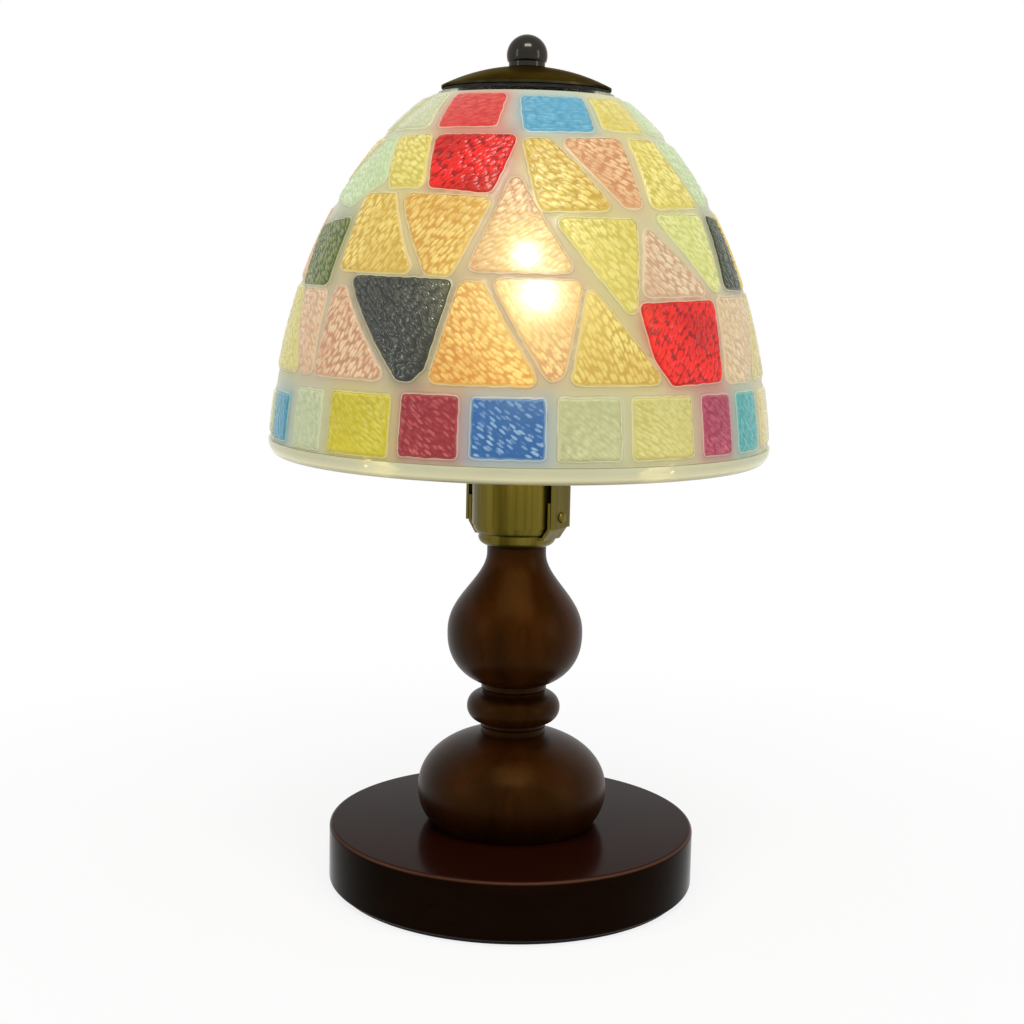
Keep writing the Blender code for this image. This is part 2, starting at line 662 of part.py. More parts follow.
def make_ring():
    """The bead between the two bellies."""
    middle = (RING_BOTTOM + RING_TOP) / 2
    half = RING_HEIGHT / 2
    outline = spigot_above(RING_TOP)
    for step in range(2 * TURNING_STEPS + 1):
        rise = half * math.cos(math.radians(180 * step / (2 * TURNING_STEPS)))
        bulge = (RING_RADIUS - NECK_RADIUS) * swell(rise, half, RING_FULLNESS)
        outline.append((NECK_RADIUS + bulge, middle + rise))
    outline += socket_below(RING_BOTTOM)
    turned("column_ring", outline, TURNED_SIDES, WALNUT)


def make_vase():
    """The upper belly, which draws in to the neck under the brass."""
    belly = VASE_BOTTOM + VASE_BELLY_RISE
    neck = VASE_TOP - VASE_TOP_NECK
    reach = VASE_BELLY_RISE * swell(NECK_RADIUS, VASE_RADIUS, VASE_FULLNESS)
    outline = [(TUBE_HOLE_RADIUS, VASE_TOP), (VASE_TOP_RADIUS, VASE_TOP)]
    for step in range(2 * TURNING_STEPS):
        share = 1 - step / (2 * TURNING_STEPS)
        wave = (math.cos(math.pi * share**VASE_SHOULDER_FULLNESS) + 1) / 2
        outline.append((VASE_TOP_RADIUS + (VASE_RADIUS - VASE_TOP_RADIUS) * wave, belly + (neck - belly) * share))
    for step in range(TURNING_STEPS + 1):
        drop = reach * math.sin(math.radians(90 * step / TURNING_STEPS))
        outline.append((VASE_RADIUS * swell(drop, VASE_BELLY_RISE, VASE_FULLNESS), belly - drop))
    outline.append((NECK_RADIUS, VASE_BOTTOM))
    outline += socket_below(VASE_BOTTOM)
    turned("column_vase", outline, TURNED_SIDES, WALNUT)


# Brass cup and lampholder


def make_cup():
    rim = (CHECK_RADIUS, CHECK_TOP)
    foot = (VASE_TOP_RADIUS, CHECK_BOTTOM)
    edge = arc(
        (foot[0], rim[1]), (rim[0] - foot[0], rim[1] - foot[1]), 0, -90, 4
    )
    turned(
        "check_ring",
        [(NUT_HOLE_RADIUS, CHECK_TOP)] + edge + [(NUT_HOLE_RADIUS, CHECK_BOTTOM)],
        MIDDLE_SIDES, BRASS,
    )
    dish_top = CUP_BOTTOM + CUP_DISH_HEIGHT
    groove_top = dish_top + CUP_GROOVE_WIDTH
    groove = CUP_RADIUS - CUP_GROOVE_DEPTH
    turned(
        "socket_cup",
        [
            (CUP_RADIUS - CUP_WALL, CUP_TOP), (CUP_RADIUS, CUP_TOP), (CUP_RADIUS, groove_top),
            (groove, groove_top), (groove, dish_top), (CUP_DISH_RADIUS, CUP_BOTTOM),
            (NUT_HOLE_RADIUS, CUP_BOTTOM), (NUT_HOLE_RADIUS, CUP_FLOOR),
            (CUP_DISH_RADIUS - CUP_WALL, CUP_FLOOR), (groove - CUP_WALL, dish_top),
            (CUP_RADIUS - CUP_WALL, groove_top + CUP_WALL),
        ],
        TURNED_SIDES, BRASS,
    )
    hexagon("cup_nut", NUT_FLATS, CUP_NUT_BOTTOM, NUT_HEIGHT, NUT_HOLE_RADIUS, STEEL)


def make_holder():
    """The insulating body, its threaded shell, and the screws and spring inside."""
    bush = TUBE_TOP + CLEARANCE
    well_top = HOLDER_SEAT + HOLDER_WELL_DEPTH
    shell_hole = SHELL_RADIUS + CLEARANCE
    body = turned(
        "holder_body",
        [
            (shell_hole, HOLDER_TOP), (HOLDER_RADIUS, HOLDER_TOP), (HOLDER_RADIUS, HOLDER_BOTTOM),
            (NUT_HOLE_RADIUS, HOLDER_BOTTOM), (NUT_HOLE_RADIUS, bush), (HOLDER_WIRE_RADIUS, bush),
            (HOLDER_WIRE_RADIUS, HOLDER_SEAT), (HOLDER_WELL_RADIUS, HOLDER_SEAT),
            (HOLDER_WELL_RADIUS, well_top), (shell_hole, well_top),
        ],
        MIDDLE_SIDES, BLACK_PLASTIC,
    )
    shell_bottom = well_top + CLEARANCE
    shell_top = HOLDER_TOP - SHELL_DROP
    turned(
        "holder_shell",
        [
            (SHELL_RADIUS - SHELL_WALL, shell_top), (SHELL_RADIUS, shell_top),
            (SHELL_RADIUS, shell_bottom), (SHELL_RADIUS - SHELL_WALL, shell_bottom),
        ],
        MIDDLE_SIDES, BRASS,
    )
    pin_across = -TONGUE_PIVOT
    pin_hole = PIN_RADIUS + CLEARANCE
    bore(body, pin_hole, (pin_across, 0, HOLDER_SEAT), 2 * (PIN_DEPTH + CLEARANCE))
    low = TONGUE_BOTTOM + TONGUE_THICKNESS / 2
    high = low + TONGUE_RISE
    pivot = axis_empty("tongue_axis", (pin_across, 0, low))
    bpy.context.view_layer.update()
    path = [(-TONGUE_ROOT, low), (-TONGUE_BEND, low), (-TONGUE_PRESS, high), (TONGUE_PRESS, high)]
    tongue = strap("contact_tongue", path, TONGUE_THICKNESS, TONGUE_WIDTH, BRASS)
    tongue.parent = pivot
    tongue.matrix_parent_inverse = pivot.matrix_world.inverted()
    bore(tongue, pin_hole, (pin_across, 0, low), TONGUE_THICKNESS + CUT_OVERRUN)
    head_bottom = TONGUE_BOTTOM + TONGUE_THICKNESS + CLEARANCE
    pin = turned(
        "tongue_rivet",
        [
            (0, head_bottom + PIN_HEAD_HEIGHT), (PIN_HEAD_RADIUS, head_bottom + PIN_HEAD_HEIGHT),
            (PIN_HEAD_RADIUS, head_bottom), (PIN_RADIUS, head_bottom), (PIN_RADIUS, HOLDER_SEAT - PIN_DEPTH),
            (0, HOLDER_SEAT - PIN_DEPTH),
        ],
        SMALL_SIDES, BRASS,
    )
    pin.location = (pin_across, 0, 0)
    for side, place in ((-1, "left"), (1, "right")):
        across = side * TERMINAL_SPREAD
        depth = TERMINAL_DEPTH + CLEARANCE
        bore(body, TERMINAL_RADIUS + CLEARANCE, (across, 0, HOLDER_BOTTOM), 2 * depth)
        head_top = HOLDER_BOTTOM - CLEARANCE
        screw = turned(
            "terminal_screw_" + place,
            [
                (0, HOLDER_BOTTOM + TERMINAL_DEPTH), (TERMINAL_RADIUS, HOLDER_BOTTOM + TERMINAL_DEPTH),
                (TERMINAL_RADIUS, head_top), (TERMINAL_HEAD_RADIUS, head_top),
                (TERMINAL_HEAD_RADIUS, head_top - TERMINAL_HEAD_HEIGHT), (0, head_top - TERMINAL_HEAD_HEIGHT),
            ],
            SMALL_SIDES, BRASS,
        )
        screw.location = (across, 0, 0)


# Bulb


def make_bulb():
    axis = axis_empty("bulb_axis")
    turned(
        "bulb_tip",
        [
            (0, BULB_BOTTOM + BULB_TIP_HEIGHT), (BULB_TIP_RADIUS, BULB_BOTTOM + BULB_TIP_HEIGHT),
            (BULB_TIP_RADIUS, BULB_BOTTOM), (0, BULB_BOTTOM),
        ],
        SMALL_SIDES, STEEL, axis,
    )
    insulator_top = INSULATOR_BOTTOM + INSULATOR_HEIGHT
    turned(
        "bulb_insulator",
        [
            (0, insulator_top), (INSULATOR_RADIUS, insulator_top),
            (INSULATOR_FOOT_RADIUS, INSULATOR_BOTTOM), (0, INSULATOR_BOTTOM),
        ],
        SMALL_SIDES, BLACK_PLASTIC, axis,
    )
    inside = BULB_CAP_RADIUS - BULB_CAP_WALL
    floor = BULB_CAP_BOTTOM + BULB_CAP_WALL
    turned(
        "bulb_screw_cap",
        [
            (inside, BULB_CAP_TOP), (BULB_CAP_RADIUS, BULB_CAP_TOP), (BULB_CAP_RADIUS, BULB_CAP_BOTTOM),
            (inside - BULB_CAP_FLANGE, BULB_CAP_BOTTOM), (inside - BULB_CAP_FLANGE, floor), (inside, floor),
        ],
        MIDDLE_SIDES, STEEL, axis,
    )
    centre = BULB_TOP - BULB_RADIUS
    neck_bottom = BULB_CAP_TOP - BULB_NECK_SEAT
    crown = arc((0, centre), BULB_RADIUS, 90, 0, BULB_STEPS)
    cheek = bezier(
        [
            (BULB_RADIUS, centre), (BULB_RADIUS, centre - BULB_CHEEK_DROP),
            (BULB_NECK_RADIUS, BULB_CAP_TOP + BULB_NECK_RISE), (BULB_NECK_RADIUS, BULB_CAP_TOP),
        ],
        BULB_STEPS,
    )
    outer = crown + cheek[1:] + [(BULB_NECK_RADIUS, neck_bottom)]
    inner = beside(outer, -BULB_WALL)[::-1]
    outer[0] = (0, BULB_TOP)
    inner[-1] = (0, BULB_TOP - BULB_WALL)
    turned("bulb_envelope", outer + inner, MIDDLE_SIDES, OPAL, axis)
    stem_bottom = floor + CLEARANCE
    turned(
        "bulb_stem",
        [
            (0, stem_bottom + STEM_HEIGHT), (STEM_TIP_RADIUS, stem_bottom + STEM_HEIGHT),
            (STEM_RADIUS, stem_bottom + STEM_FOOT_HEIGHT), (STEM_FOOT_RADIUS, stem_bottom + STEM_FOOT_HEIGHT),
            (STEM_FOOT_RADIUS, stem_bottom), (0, stem_bottom),
        ],
        SMALL_SIDES, OPAL, axis,
    )


# Harp, its rivets and its stud


def make_harp():
    plate = SADDLE_BOTTOM + STRAP_THICKNESS / 2
    flat = CUP_DISH_RADIUS + SADDLE_MARGIN
    bend = plate + CUP_DISH_HEIGHT + CUP_GROOVE_WIDTH + SADDLE_MARGIN
    ear_top = SADDLE_BOTTOM + EAR_HEIGHT
    right = [(flat, plate), (EAR_ACROSS, bend), (EAR_ACROSS, ear_top)]
    saddle = strap("harp_saddle", mirrored(right), STRAP_THICKNESS, STRAP_WIDTH, BRASS, HARP_TURN)
    bore(saddle, NUT_HOLE_RADIUS, (0, 0, plate), STRAP_THICKNESS + CUT_OVERRUN)
    top = HARP_TOP - STRAP_THICKNESS / 2
    foot = SADDLE_BOTTOM + HARP_FOOT_LIFT
    across = HARP_FOOT_ACROSS + HARP_BELLY_REACH
    high = CUP_TOP + (top - CUP_TOP) * HARP_HIGH_SHARE
    low = CUP_TOP + (top - CUP_TOP) * HARP_LOW_SHARE
    ends = [(HARP_TOP_HALF, top), (HARP_FOOT_ACROSS, CUP_TOP)]
    side = bezier([ends[0], (across, high), (across, low), ends[1]], HARP_STEPS)
    path = mirrored(side + [(HARP_FOOT_ACROSS, foot)])
    harp = strap("harp", path, STRAP_THICKNESS, STRAP_WIDTH, BRASS, HARP_TURN)
    bore(harp, STUD_HOLE_RADIUS, (0, 0, top), STRAP_THICKNESS + CUT_OVERRUN)
    rivet_height = foot + RIVET_RISE
    outside = HARP_FOOT_ACROSS + STRAP_THICKNESS / 2 + CLEARANCE
    inside = EAR_ACROSS - STRAP_THICKNESS / 2
    for side_sign, place in ((1, "right"), (-1, "left")):
        direction = Matrix.Rotation(HARP_TURN, 3, "Z") @ Vector((side_sign, 0, 0))
        for plate_piece in (saddle, harp):
            centre = direction * HARP_FOOT_ACROSS + Vector((0, 0, rivet_height))
            bore(plate_piece, RIVET_RADIUS + CLEARANCE, centre, 2 * (STRAP_THICKNESS + CUT_OVERRUN), direction)
        dome = arc((0, outside), (RIVET_HEAD_RADIUS, RIVET_HEAD_HEIGHT), 90, 0, 3)
        rivet = turned(
            "harp_rivet_" + place,
            [(0, outside + RIVET_HEAD_HEIGHT)] + dome[1:]
            + [(RIVET_RADIUS, outside), (RIVET_RADIUS, inside), (0, inside)],
            SMALL_SIDES, BRASS,
        )
        rivet.rotation_mode = "QUATERNION"
        rivet.rotation_quaternion = Vector((0, 0, 1)).rotation_difference(direction)
        rivet.location = (0, 0, rivet_height)
    stud_bottom = HARP_UNDERSIDE - STUD_TAIL
    turned(
        "harp_stud",
        [(0, STUD_TOP), (STUD_RADIUS, STUD_TOP), (STUD_RADIUS, stud_bottom), (0, stud_bottom)],
        SMALL_SIDES, BRASS,
    )
    nut_bottom = HARP_UNDERSIDE - CLEARANCE - STUD_NUT_HEIGHT
    hexagon("stud_nut", STUD_NUT_FLATS, nut_bottom, STUD_NUT_HEIGHT, STUD_HOLE_RADIUS, BRASS)


def mirrored(right):
    """A path from its right half, drawn from the left end to the right one."""
    return [(-across, height) for across, height in right[::-1]] + right


# Shade and what carries it


def make_support():
    """The dished disc on the harp and the rubber that the glass sits on."""
    edge = SHADE_HOLE_RADIUS + SUPPORT_WIDTH
    under = SUPPORT_TOP - SUPPORT_THICKNESS
    turned(
        "shade_support",
        [
            (STUD_HOLE_RADIUS, HUB_TOP), (SUPPORT_HUB_RADIUS, HUB_TOP), (SUPPORT_SLOPE_RADIUS, SUPPORT_TOP),
            (edge, SUPPORT_TOP), (edge, under), (SUPPORT_SLOPE_RADIUS, under), (SUPPORT_HUB_RADIUS, HUB_BOTTOM),
            (STUD_HOLE_RADIUS, HUB_BOTTOM),
        ],
        MIDDLE_SIDES, BRASS,
    )
    hexagon("support_nut", STUD_NUT_FLATS, HUB_TOP + CLEARANCE, STUD_NUT_HEIGHT, STUD_HOLE_RADIUS, BRASS)
    lip = SHADE_HOLE_RADIUS - CLEARANCE
    lip_top = LIP_TOP - CLEARANCE
    turned(
        "shade_grommet",
        [
            (lip - GROMMET_LIP, lip_top), (lip, lip_top), (lip, GROMMET_TOP), (edge, GROMMET_TOP),
            (edge, GROMMET_BOTTOM), (lip - GROMMET_LIP, GROMMET_BOTTOM),
        ],
        MIDDLE_SIDES, RUBBER,
    )


def make_glass(axis):
    """The clear dome: a flat lip round the top hole and a rounded foot that the mosaic stands on."""
    outside = BED_THICKNESS + CLEARANCE
    inside = outside + GLASS_WALL
    shares = [row / BAND_ROWS for row in range(BAND_ROWS, -1, -1)]
    ledge = RIM_BOTTOM + GLASS_RIM_HEIGHT
    brim = dome_radius(ledge)
    foot = brim - GLASS_RIM_ROUND
    outline = [(SHADE_HOLE_RADIUS, LIP_TOP), (GLASS_LIP_RADIUS, LIP_TOP)]
    outline.append((GLASS_LIP_RADIUS, dome_profile(1, outside)[1]))
    outline += [dome_profile(share, outside) for share in shares[1:-1]]
    outline.append((dome_profile(0, outside)[0], ledge))
    outline += arc((foot, ledge), (GLASS_RIM_ROUND, GLASS_RIM_HEIGHT), 0, -90, 4)
    outline.append((foot - GLASS_RIM_FOOT, RIM_BOTTOM))
    outline += [dome_profile(share, inside) for share in shares[-1:0:-1]]
    top_inside = dome_profile(1, inside)
    outline += [top_inside, (top_inside[0] - GLASS_WALL, LIP_BOTTOM), (SHADE_HOLE_RADIUS, LIP_BOTTOM)]
    turned("shade_glass", outline, LARGE_SIDES, CLEAR_GLASS, axis)


def unrolled(turn, share, level):
    """Place on the dome laid flat, where the dome's radius is that of a given share."""
    radius = dome_profile(level, 0)[0]
    return Vector((math.radians(turn) * radius, share * BAND_LENGTH))


def rolled(point, level):
    """Turn and share of a place on the flat."""
    radius = dome_profile(level, 0)[0]
    return math.degrees(point[0] / radius), point[1] / BAND_LENGTH


def inset(corners, distance):
    """An outline of turns and shares with each side moved inwards, by a real distance."""
    level = sum(share for _, share in corners) / len(corners)
    flat = [tuple(unrolled(turn, share, level)) for turn, share in corners]
    return [rolled(point, level) for point in beside(flat, distance, closed=True)]


def stepped(corners, closed=True):
    """An outline with points added along its sides, so that it can follow the dome."""
    level = sum(share for _, share in corners) / len(corners)
    ends = corners[1:] + corners[:1] if closed else corners[1:]
    points = []
    for start, end in zip(corners, ends):
        length = (unrolled(*end, level) - unrolled(*start, level)).length
        parts = max(1, round(length / TILE_STEP))
        points += [
            tuple(a + (b - a) * part / parts for a, b in zip(start, end)) for part in range(parts)
        ]
    return points if closed else points + [corners[-1]]


def within(point, outline):
    """Whether a place lies inside an outline."""
    inside = False
    for (x1, y1), (x2, y2) in zip(outline, outline[1:] + outline[:1]):
        if (y1 > point[1]) != (y2 > point[1]) and point[0] < x1 + (x2 - x1) * (point[1] - y1) / (y2 - y1):
            inside = not inside
    return inside


def room(point, outline):
    """Real distance from a place to an outline."""
    level = point[1]
    here = unrolled(*point, level)
    nearest = math.inf
    for start, end in zip(outline, outline[1:] + outline[:1]):
        a = unrolled(*start, level)
        along = unrolled(*end, level) - a
        share = min(max((here - a).dot(along) / along.length_squared, 0), 1)
        nearest = min(nearest, (here - a - along * share).length)
    return nearest


def lattice(border, loops):
    """Evenly spread places inside a border, clear of every loop, so that faces follow the dome."""
    rows = round(BAND_LENGTH / LATTICE_STEP)
    places = []
    for row in range(1, rows):
        share = row / rows
        columns = round(2 * math.pi * dome_profile(share, 0)[0] / LATTICE_STEP)
        for column in range(-columns, columns):
            place = ((column + row % 2 / 2) * HALF_TURN_ANGLE * 2 / columns, share)
            if within(place, border) and min(room(place, loop) for loop in [border] + loops) > LATTICE_MARGIN:
                places.append(place)
    return places


def skin(border, border_depth, loops, ground_depth):
    """Triangles over a border, as turns, shares and depths. A loop is (outline, depth, depth inside it)."""
    points = [(*place, border_depth) for place in border]
    edges = []
    for outline, depth, _ in loops:
        start = len(points)
        count = len(outline)
        points += [(*place, depth) for place in outline]
        edges += [(start + index, start + (index + 1) % count) for index in range(count)]
    for place in lattice(border, [outline for outline, _, _ in loops]):
        depth = ground_depth
        for outline, _, inner_depth in loops:
            if within(place, outline):
                depth = inner_depth
        points.append((*place, depth))
    flat = [unrolled(turn, share, SEAM_SHARES[1][1]) for turn, share, _ in points]
    made = delaunay_2d_cdt(flat, edges, [list(range(len(border)))], 1, MERGE_DISTANCE)
    kept = [points[origins[0]] for origins in made[3]]
    return [[kept[index] for index in face] for face in made[2]]


def all_tiles():
    tiles = {
        "skirt_" + name: ((left, SKIRT_SHARES[0]), (right, SKIRT_SHARES[0]),
                          (right, SKIRT_SHARES[1]), (left, SKIRT_SHARES[1]))
        for name, (left, right) in SKIRT_TURNS.items()
    }
    tiles.update(TILE_SHARES)
    return {name: list(corners) for name, corners in tiles.items()}


def make_bed(axis):
    """The grout with its raised tiles, and the pockets that the loose tiles lie in."""
    floor = TILE_RELIEF + POCKET_DEPTH
    loops = []
    for name, corners in all_tiles().items():
        loose = name in LOOSE_TILES
        middle = floor if loose else 0
        slope = POCKET_SLOPE if loose else TILE_BEVEL
        loops.append((stepped(corners), TILE_RELIEF, TILE_RELIEF))
        loops.append((stepped(inset(corners, slope)), middle, middle))
    columns = LARGE_SIDES // 2
    left = stepped(list(SEAM_SHARES), closed=False)
    right = [(turn + HALF_TURN_ANGLE, share) for turn, share in left]
    start, end = left[0][0], right[0][0]
    turns = [start + (end - start) * column / columns for column in range(1, columns)]
    border = [(turn, 0) for turn in turns] + right + [(turn, 1) for turn in turns[::-1]] + left[::-1]
    half = skin(border, TILE_RELIEF, loops, TILE_RELIEF)
    faces = []
    for shift in (0, HALF_TURN_ANGLE):
        faces += [[dome_point(turn + shift, share, depth) for turn, share, depth in face] for face in half]
    rows = [row / BAND_ROWS for row in range(BAND_ROWS + 1)]
    step = HALF_TURN_ANGLE / columns
    for column in range(LARGE_SIDES):
        near, far = start + column * step, start + (column + 1) * step
        for low, high in zip(rows, rows[1:]):
            faces.append([
                dome_point(turn, share, BED_THICKNESS)
                for turn, share in ((near, low), (near, high), (far, high), (far, low))
            ])
        for share in (0, 1):
            faces.append([
                dome_point(near, share, TILE_RELIEF), dome_point(far, share, TILE_RELIEF),
                dome_point(far, share, BED_THICKNESS), dome_point(near, share, BED_THICKNESS),
            ])
    from_faces("mosaic_bed", faces, GROUT, axis)


def make_loose_tiles(axis):
    """One half of the strongly coloured tiles at the front and their fellows at the back."""
    floor = TILE_RELIEF + POCKET_DEPTH - CLEARANCE
    tiles = all_tiles()
    for name, colours in LOOSE_TILES.items():
        border = stepped(inset(tiles[name], POCKET_SLOPE + GLUE_LINE))
        brow = stepped(inset(tiles[name], POCKET_SLOPE + GLUE_LINE + TILE_BEVEL / 2))
        top = skin(border, TILE_RELIEF, [(brow, 0, 0)], 0)
        under = skin(border, floor, [], floor)
        sides = [
            [(*a, TILE_RELIEF), (*b, TILE_RELIEF), (*b, floor), (*a, floor)]
            for a, b in zip(border, border[1:] + border[:1])
        ]
        for shift, place, colour in ((0, "front", colours[0]), (HALF_TURN_ANGLE, "back", colours[1])):
            faces = [
                [dome_point(turn + shift, share, depth) for turn, share, depth in face]
                for face in top + under + sides
            ]
            from_faces("tile_" + place + "_" + name, faces, TILE_GLASS[colour], axis)


def make_cap(axis):
    gasket_radius = CAP_RADIUS - GASKET_INSET
    turned(
        "cap_gasket",
        [
            (gasket_radius - GASKET_WIDTH, GASKET_BOTTOM + GASKET_THICKNESS),
            (gasket_radius, GASKET_BOTTOM + GASKET_THICKNESS), (gasket_radius, GASKET_BOTTOM),
            (gasket_radius - GASKET_WIDTH, GASKET_BOTTOM),
        ],
        MIDDLE_SIDES, RUBBER, axis,
    )
    shoulder = CAP_BOTTOM + CAP_EDGE
    rise = CAP_TOP - shoulder
    sphere = (CAP_RADIUS**2 + rise**2) / (2 * rise)
    top = []
    for step in range(CAP_STEPS + 1):
        radius = STUD_HOLE_RADIUS + (CAP_RADIUS - STUD_HOLE_RADIUS) * step / CAP_STEPS
        top.append((radius, CAP_TOP - sphere + math.sqrt(sphere**2 - radius**2)))
    outer = top + [(CAP_RADIUS, CAP_BOTTOM)]
    inner = beside(outer, -CAP_WALL)[::-1]
    inner[0] = (CAP_RADIUS - CAP_WALL, CAP_BOTTOM)
    inner[-1] = (STUD_HOLE_RADIUS, top[0][1] - CAP_WALL)
    turned("shade_cap", outer + inner, TURNED_SIDES, BRONZE, axis)


def make_finial(axis):
    turned(
        "finial_collar",
        [
            (STUD_HOLE_RADIUS, COLLAR_BOTTOM + COLLAR_HEIGHT), (COLLAR_RADIUS, COLLAR_BOTTOM + COLLAR_HEIGHT),
            (COLLAR_RADIUS, COLLAR_BOTTOM), (STUD_HOLE_RADIUS, COLLAR_BOTTOM),
        ],
        SMALL_SIDES, BLACK_BRONZE, axis,
    )
    start = math.degrees(-math.asin(BALL_CUT / BALL_RADIUS))
    ball = arc((0, BALL_CENTRE), BALL_RADIUS, 90, start, BALL_STEPS)
    bore_top = BALL_BOTTOM + BALL_BORE_DEPTH
    turned(
        "finial_ball",
        [(0, BALL_CENTRE + BALL_RADIUS)] + ball[1:]
        + [(STUD_HOLE_RADIUS, BALL_BOTTOM), (STUD_HOLE_RADIUS, bore_top), (0, bore_top)],
        MIDDLE_SIDES, BLACK_BRONZE, axis,
    )


for old in list(bpy.data.objects):
    bpy.data.objects.remove(old)

PIECES = collection("mosaic_lamp")
DRILLS = collection("cutters")

FELT = finish("felt", (0.02, 0.02, 0.02), 0.95)
MAHOGANY = finish("mahogany", (0.045, 0.014, 0.009), 0.22)
WALNUT = finish("walnut", (0.06, 0.032, 0.014), 0.38)
STEEL = finish("steel", (0.55, 0.55, 0.55), 0.35, 1)
BRASS = finish("antique_brass", (0.16, 0.14, 0.035), 0.35, 1)
BRONZE = finish("bronze", (0.09, 0.08, 0.045), 0.4, 1)
BLACK_BRONZE = finish("black_bronze", (0.02, 0.018, 0.01), 0.15, 1)
BLACK_PLASTIC = finish("black_plastic", (0.02, 0.02, 0.02), 0.5)
RUBBER = finish("rubber", (0.015, 0.015, 0.015), 0.8)
OPAL = finish("opal_glass", (0.9, 0.88, 0.8), 0.3)
CLEAR_GLASS = finish("clear_glass", (0.8, 0.82, 0.72), 0.05, alpha=0.4)
GROUT = finish("grout", (0.6, 0.57, 0.38), 0.25)
TILE_GLASS = {
    name: finish(name + "_glass", colour, 0.1)
    for name, colour in {
        "yellow": (0.68, 0.6, 0.03), "crimson": (0.4, 0.05, 0.05), "blue": (0.06, 0.2, 0.5),
        "magenta": (0.37, 0.04, 0.1), "teal": (0.06, 0.37, 0.36), "moss": (0.03, 0.045, 0.02),
        "red": (0.72, 0.01, 0.008), "pink": (0.7, 0.06, 0.06), "sky": (0.1, 0.38, 0.62),
    }.items()
}

make_base()
make_tube()
make_cord_bushing()
make_foot()
make_ring()
make_vase()
make_cup()
make_holder()
make_bulb()
make_harp()
make_support()
SHADE_AXIS = axis_empty("shade_axis")
make_glass(SHADE_AXIS)
make_bed(SHADE_AXIS)
make_loose_tiles(SHADE_AXIS)
make_cap(axis_empty("cap_axis"))
make_finial(axis_empty("finial_axis"))

bpy.context.view_layer.update()
for made_piece in list(PIECES.objects):
    if made_piece.type == "MESH":
        settle(made_piece)
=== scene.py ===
"""Table lamp with a mosaic dome shade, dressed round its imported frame: turned wood, brass, hammered glass."""
import math

import bmesh
import bpy
import numpy as np
from mathutils import Matrix, Vector, noise
from mathutils.geometry import delaunay_2d_cdt


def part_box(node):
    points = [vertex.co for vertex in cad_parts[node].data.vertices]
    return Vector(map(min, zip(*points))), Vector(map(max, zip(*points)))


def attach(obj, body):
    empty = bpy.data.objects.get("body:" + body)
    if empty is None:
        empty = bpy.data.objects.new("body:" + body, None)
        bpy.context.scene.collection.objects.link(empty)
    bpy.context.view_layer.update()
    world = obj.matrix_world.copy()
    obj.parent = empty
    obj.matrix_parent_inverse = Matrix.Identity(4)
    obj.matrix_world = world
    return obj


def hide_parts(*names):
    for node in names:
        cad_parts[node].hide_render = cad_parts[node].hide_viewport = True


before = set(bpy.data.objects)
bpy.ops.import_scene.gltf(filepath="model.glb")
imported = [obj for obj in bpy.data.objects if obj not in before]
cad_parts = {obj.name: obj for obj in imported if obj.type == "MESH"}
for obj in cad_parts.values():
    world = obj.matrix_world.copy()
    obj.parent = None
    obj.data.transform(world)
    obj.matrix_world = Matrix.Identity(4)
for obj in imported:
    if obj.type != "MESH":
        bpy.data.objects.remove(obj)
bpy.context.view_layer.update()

# Camera, as it stood for the photograph
CAMERA_PLACE = (-0.0022, -0.695, 0.257)
CAMERA_PITCH = math.radians(8.41)
CAMERA_ROLL = math.radians(1.2)
CAMERA_LENS = 60.96
CAMERA_SENSOR = 36

# Studio: softboxes as azimuth from the front, elevation, distance, size and share of the light
SOFTBOXES = {
    "softbox_top": (4, 58, 1.1, (0.55, 0.26), 0.5),
    "softbox_left": (-60, 16, 1.2, (0.12, 0.7), 0.08),
    "softbox_right": (66, 12, 1.2, (0.16, 0.7), 0.1),
}
SOFTBOX_AIM = Vector((0, 0, 0.18))
# Light that comes down from the lit shade on the wood below it
GLOW_PLACE = Vector((0, -0.06, 0.2))
GLOW_AIM = Vector((0, 0, 0.12))
GLOW_SIZE = (0.11, 0.06)
GLOW_POWER = 0.09
GLOW_COLOUR = (255, 232, 190)
WORLD_LEVEL = 0.4
FLOOR_RADIUS = 0.9
FLOOR_WHITE_SHARE = 0.84
FLOOR_FADE = (0.07, 0.4)
FLOOR_COLOURS = ((246, 246, 246), (250, 250, 250))

# Fineness
SIDES = 128
FINE_SIDES = 64
BULB_SIDES = 96
BALL_STEPS = 32
BAND_STEPS = 400
MERGE_DISTANCE = 0.000001
MERGE_DIGITS = 7
TINY = 1e-12
SHARP_ANGLE = math.radians(32)
MOSAIC_SHARP_ANGLE = math.radians(50)
CLEARANCE = 0.0003

# Turned wood
BASE_TOP_ROUND = 0.0017
BASE_FOOT_ROUND = 0.0012
RECESS_RADIUS = 0.017
RECESS_DEPTH = 0.012
SPIGOT_RADIUS = 0.0095
SPIGOT_HEIGHT = 0.0035
INLET_RADIUS = 0.005
INLET_RISE = 0.0066
TUBE_HOLE_RADIUS = 0.0055
NUT_HOLE_RADIUS = 0.0053
STUD_HOLE_RADIUS = 0.0033
FOOT_BELLY_RISE = 0.0138
FOOT_SHOULDER_HEIGHT = 0.025
FOOT_FULLNESS = 2.15
NECK_RADIUS = 0.0133
NECK_HEIGHT = 0.0012
RING_FULLNESS = 2.05
RING_COVE = 0.0016
RING_COVE_DEPTH = 0.0005
VASE_BELLY_RISE = 0.0228
VASE_FULLNESS = 2.3
VASE_SHOULDER_FULLNESS = 1.15
VASE_TOP_RADIUS = 0.012
VASE_TOP_NECK = 0.003
TURNING_STEPS = 20

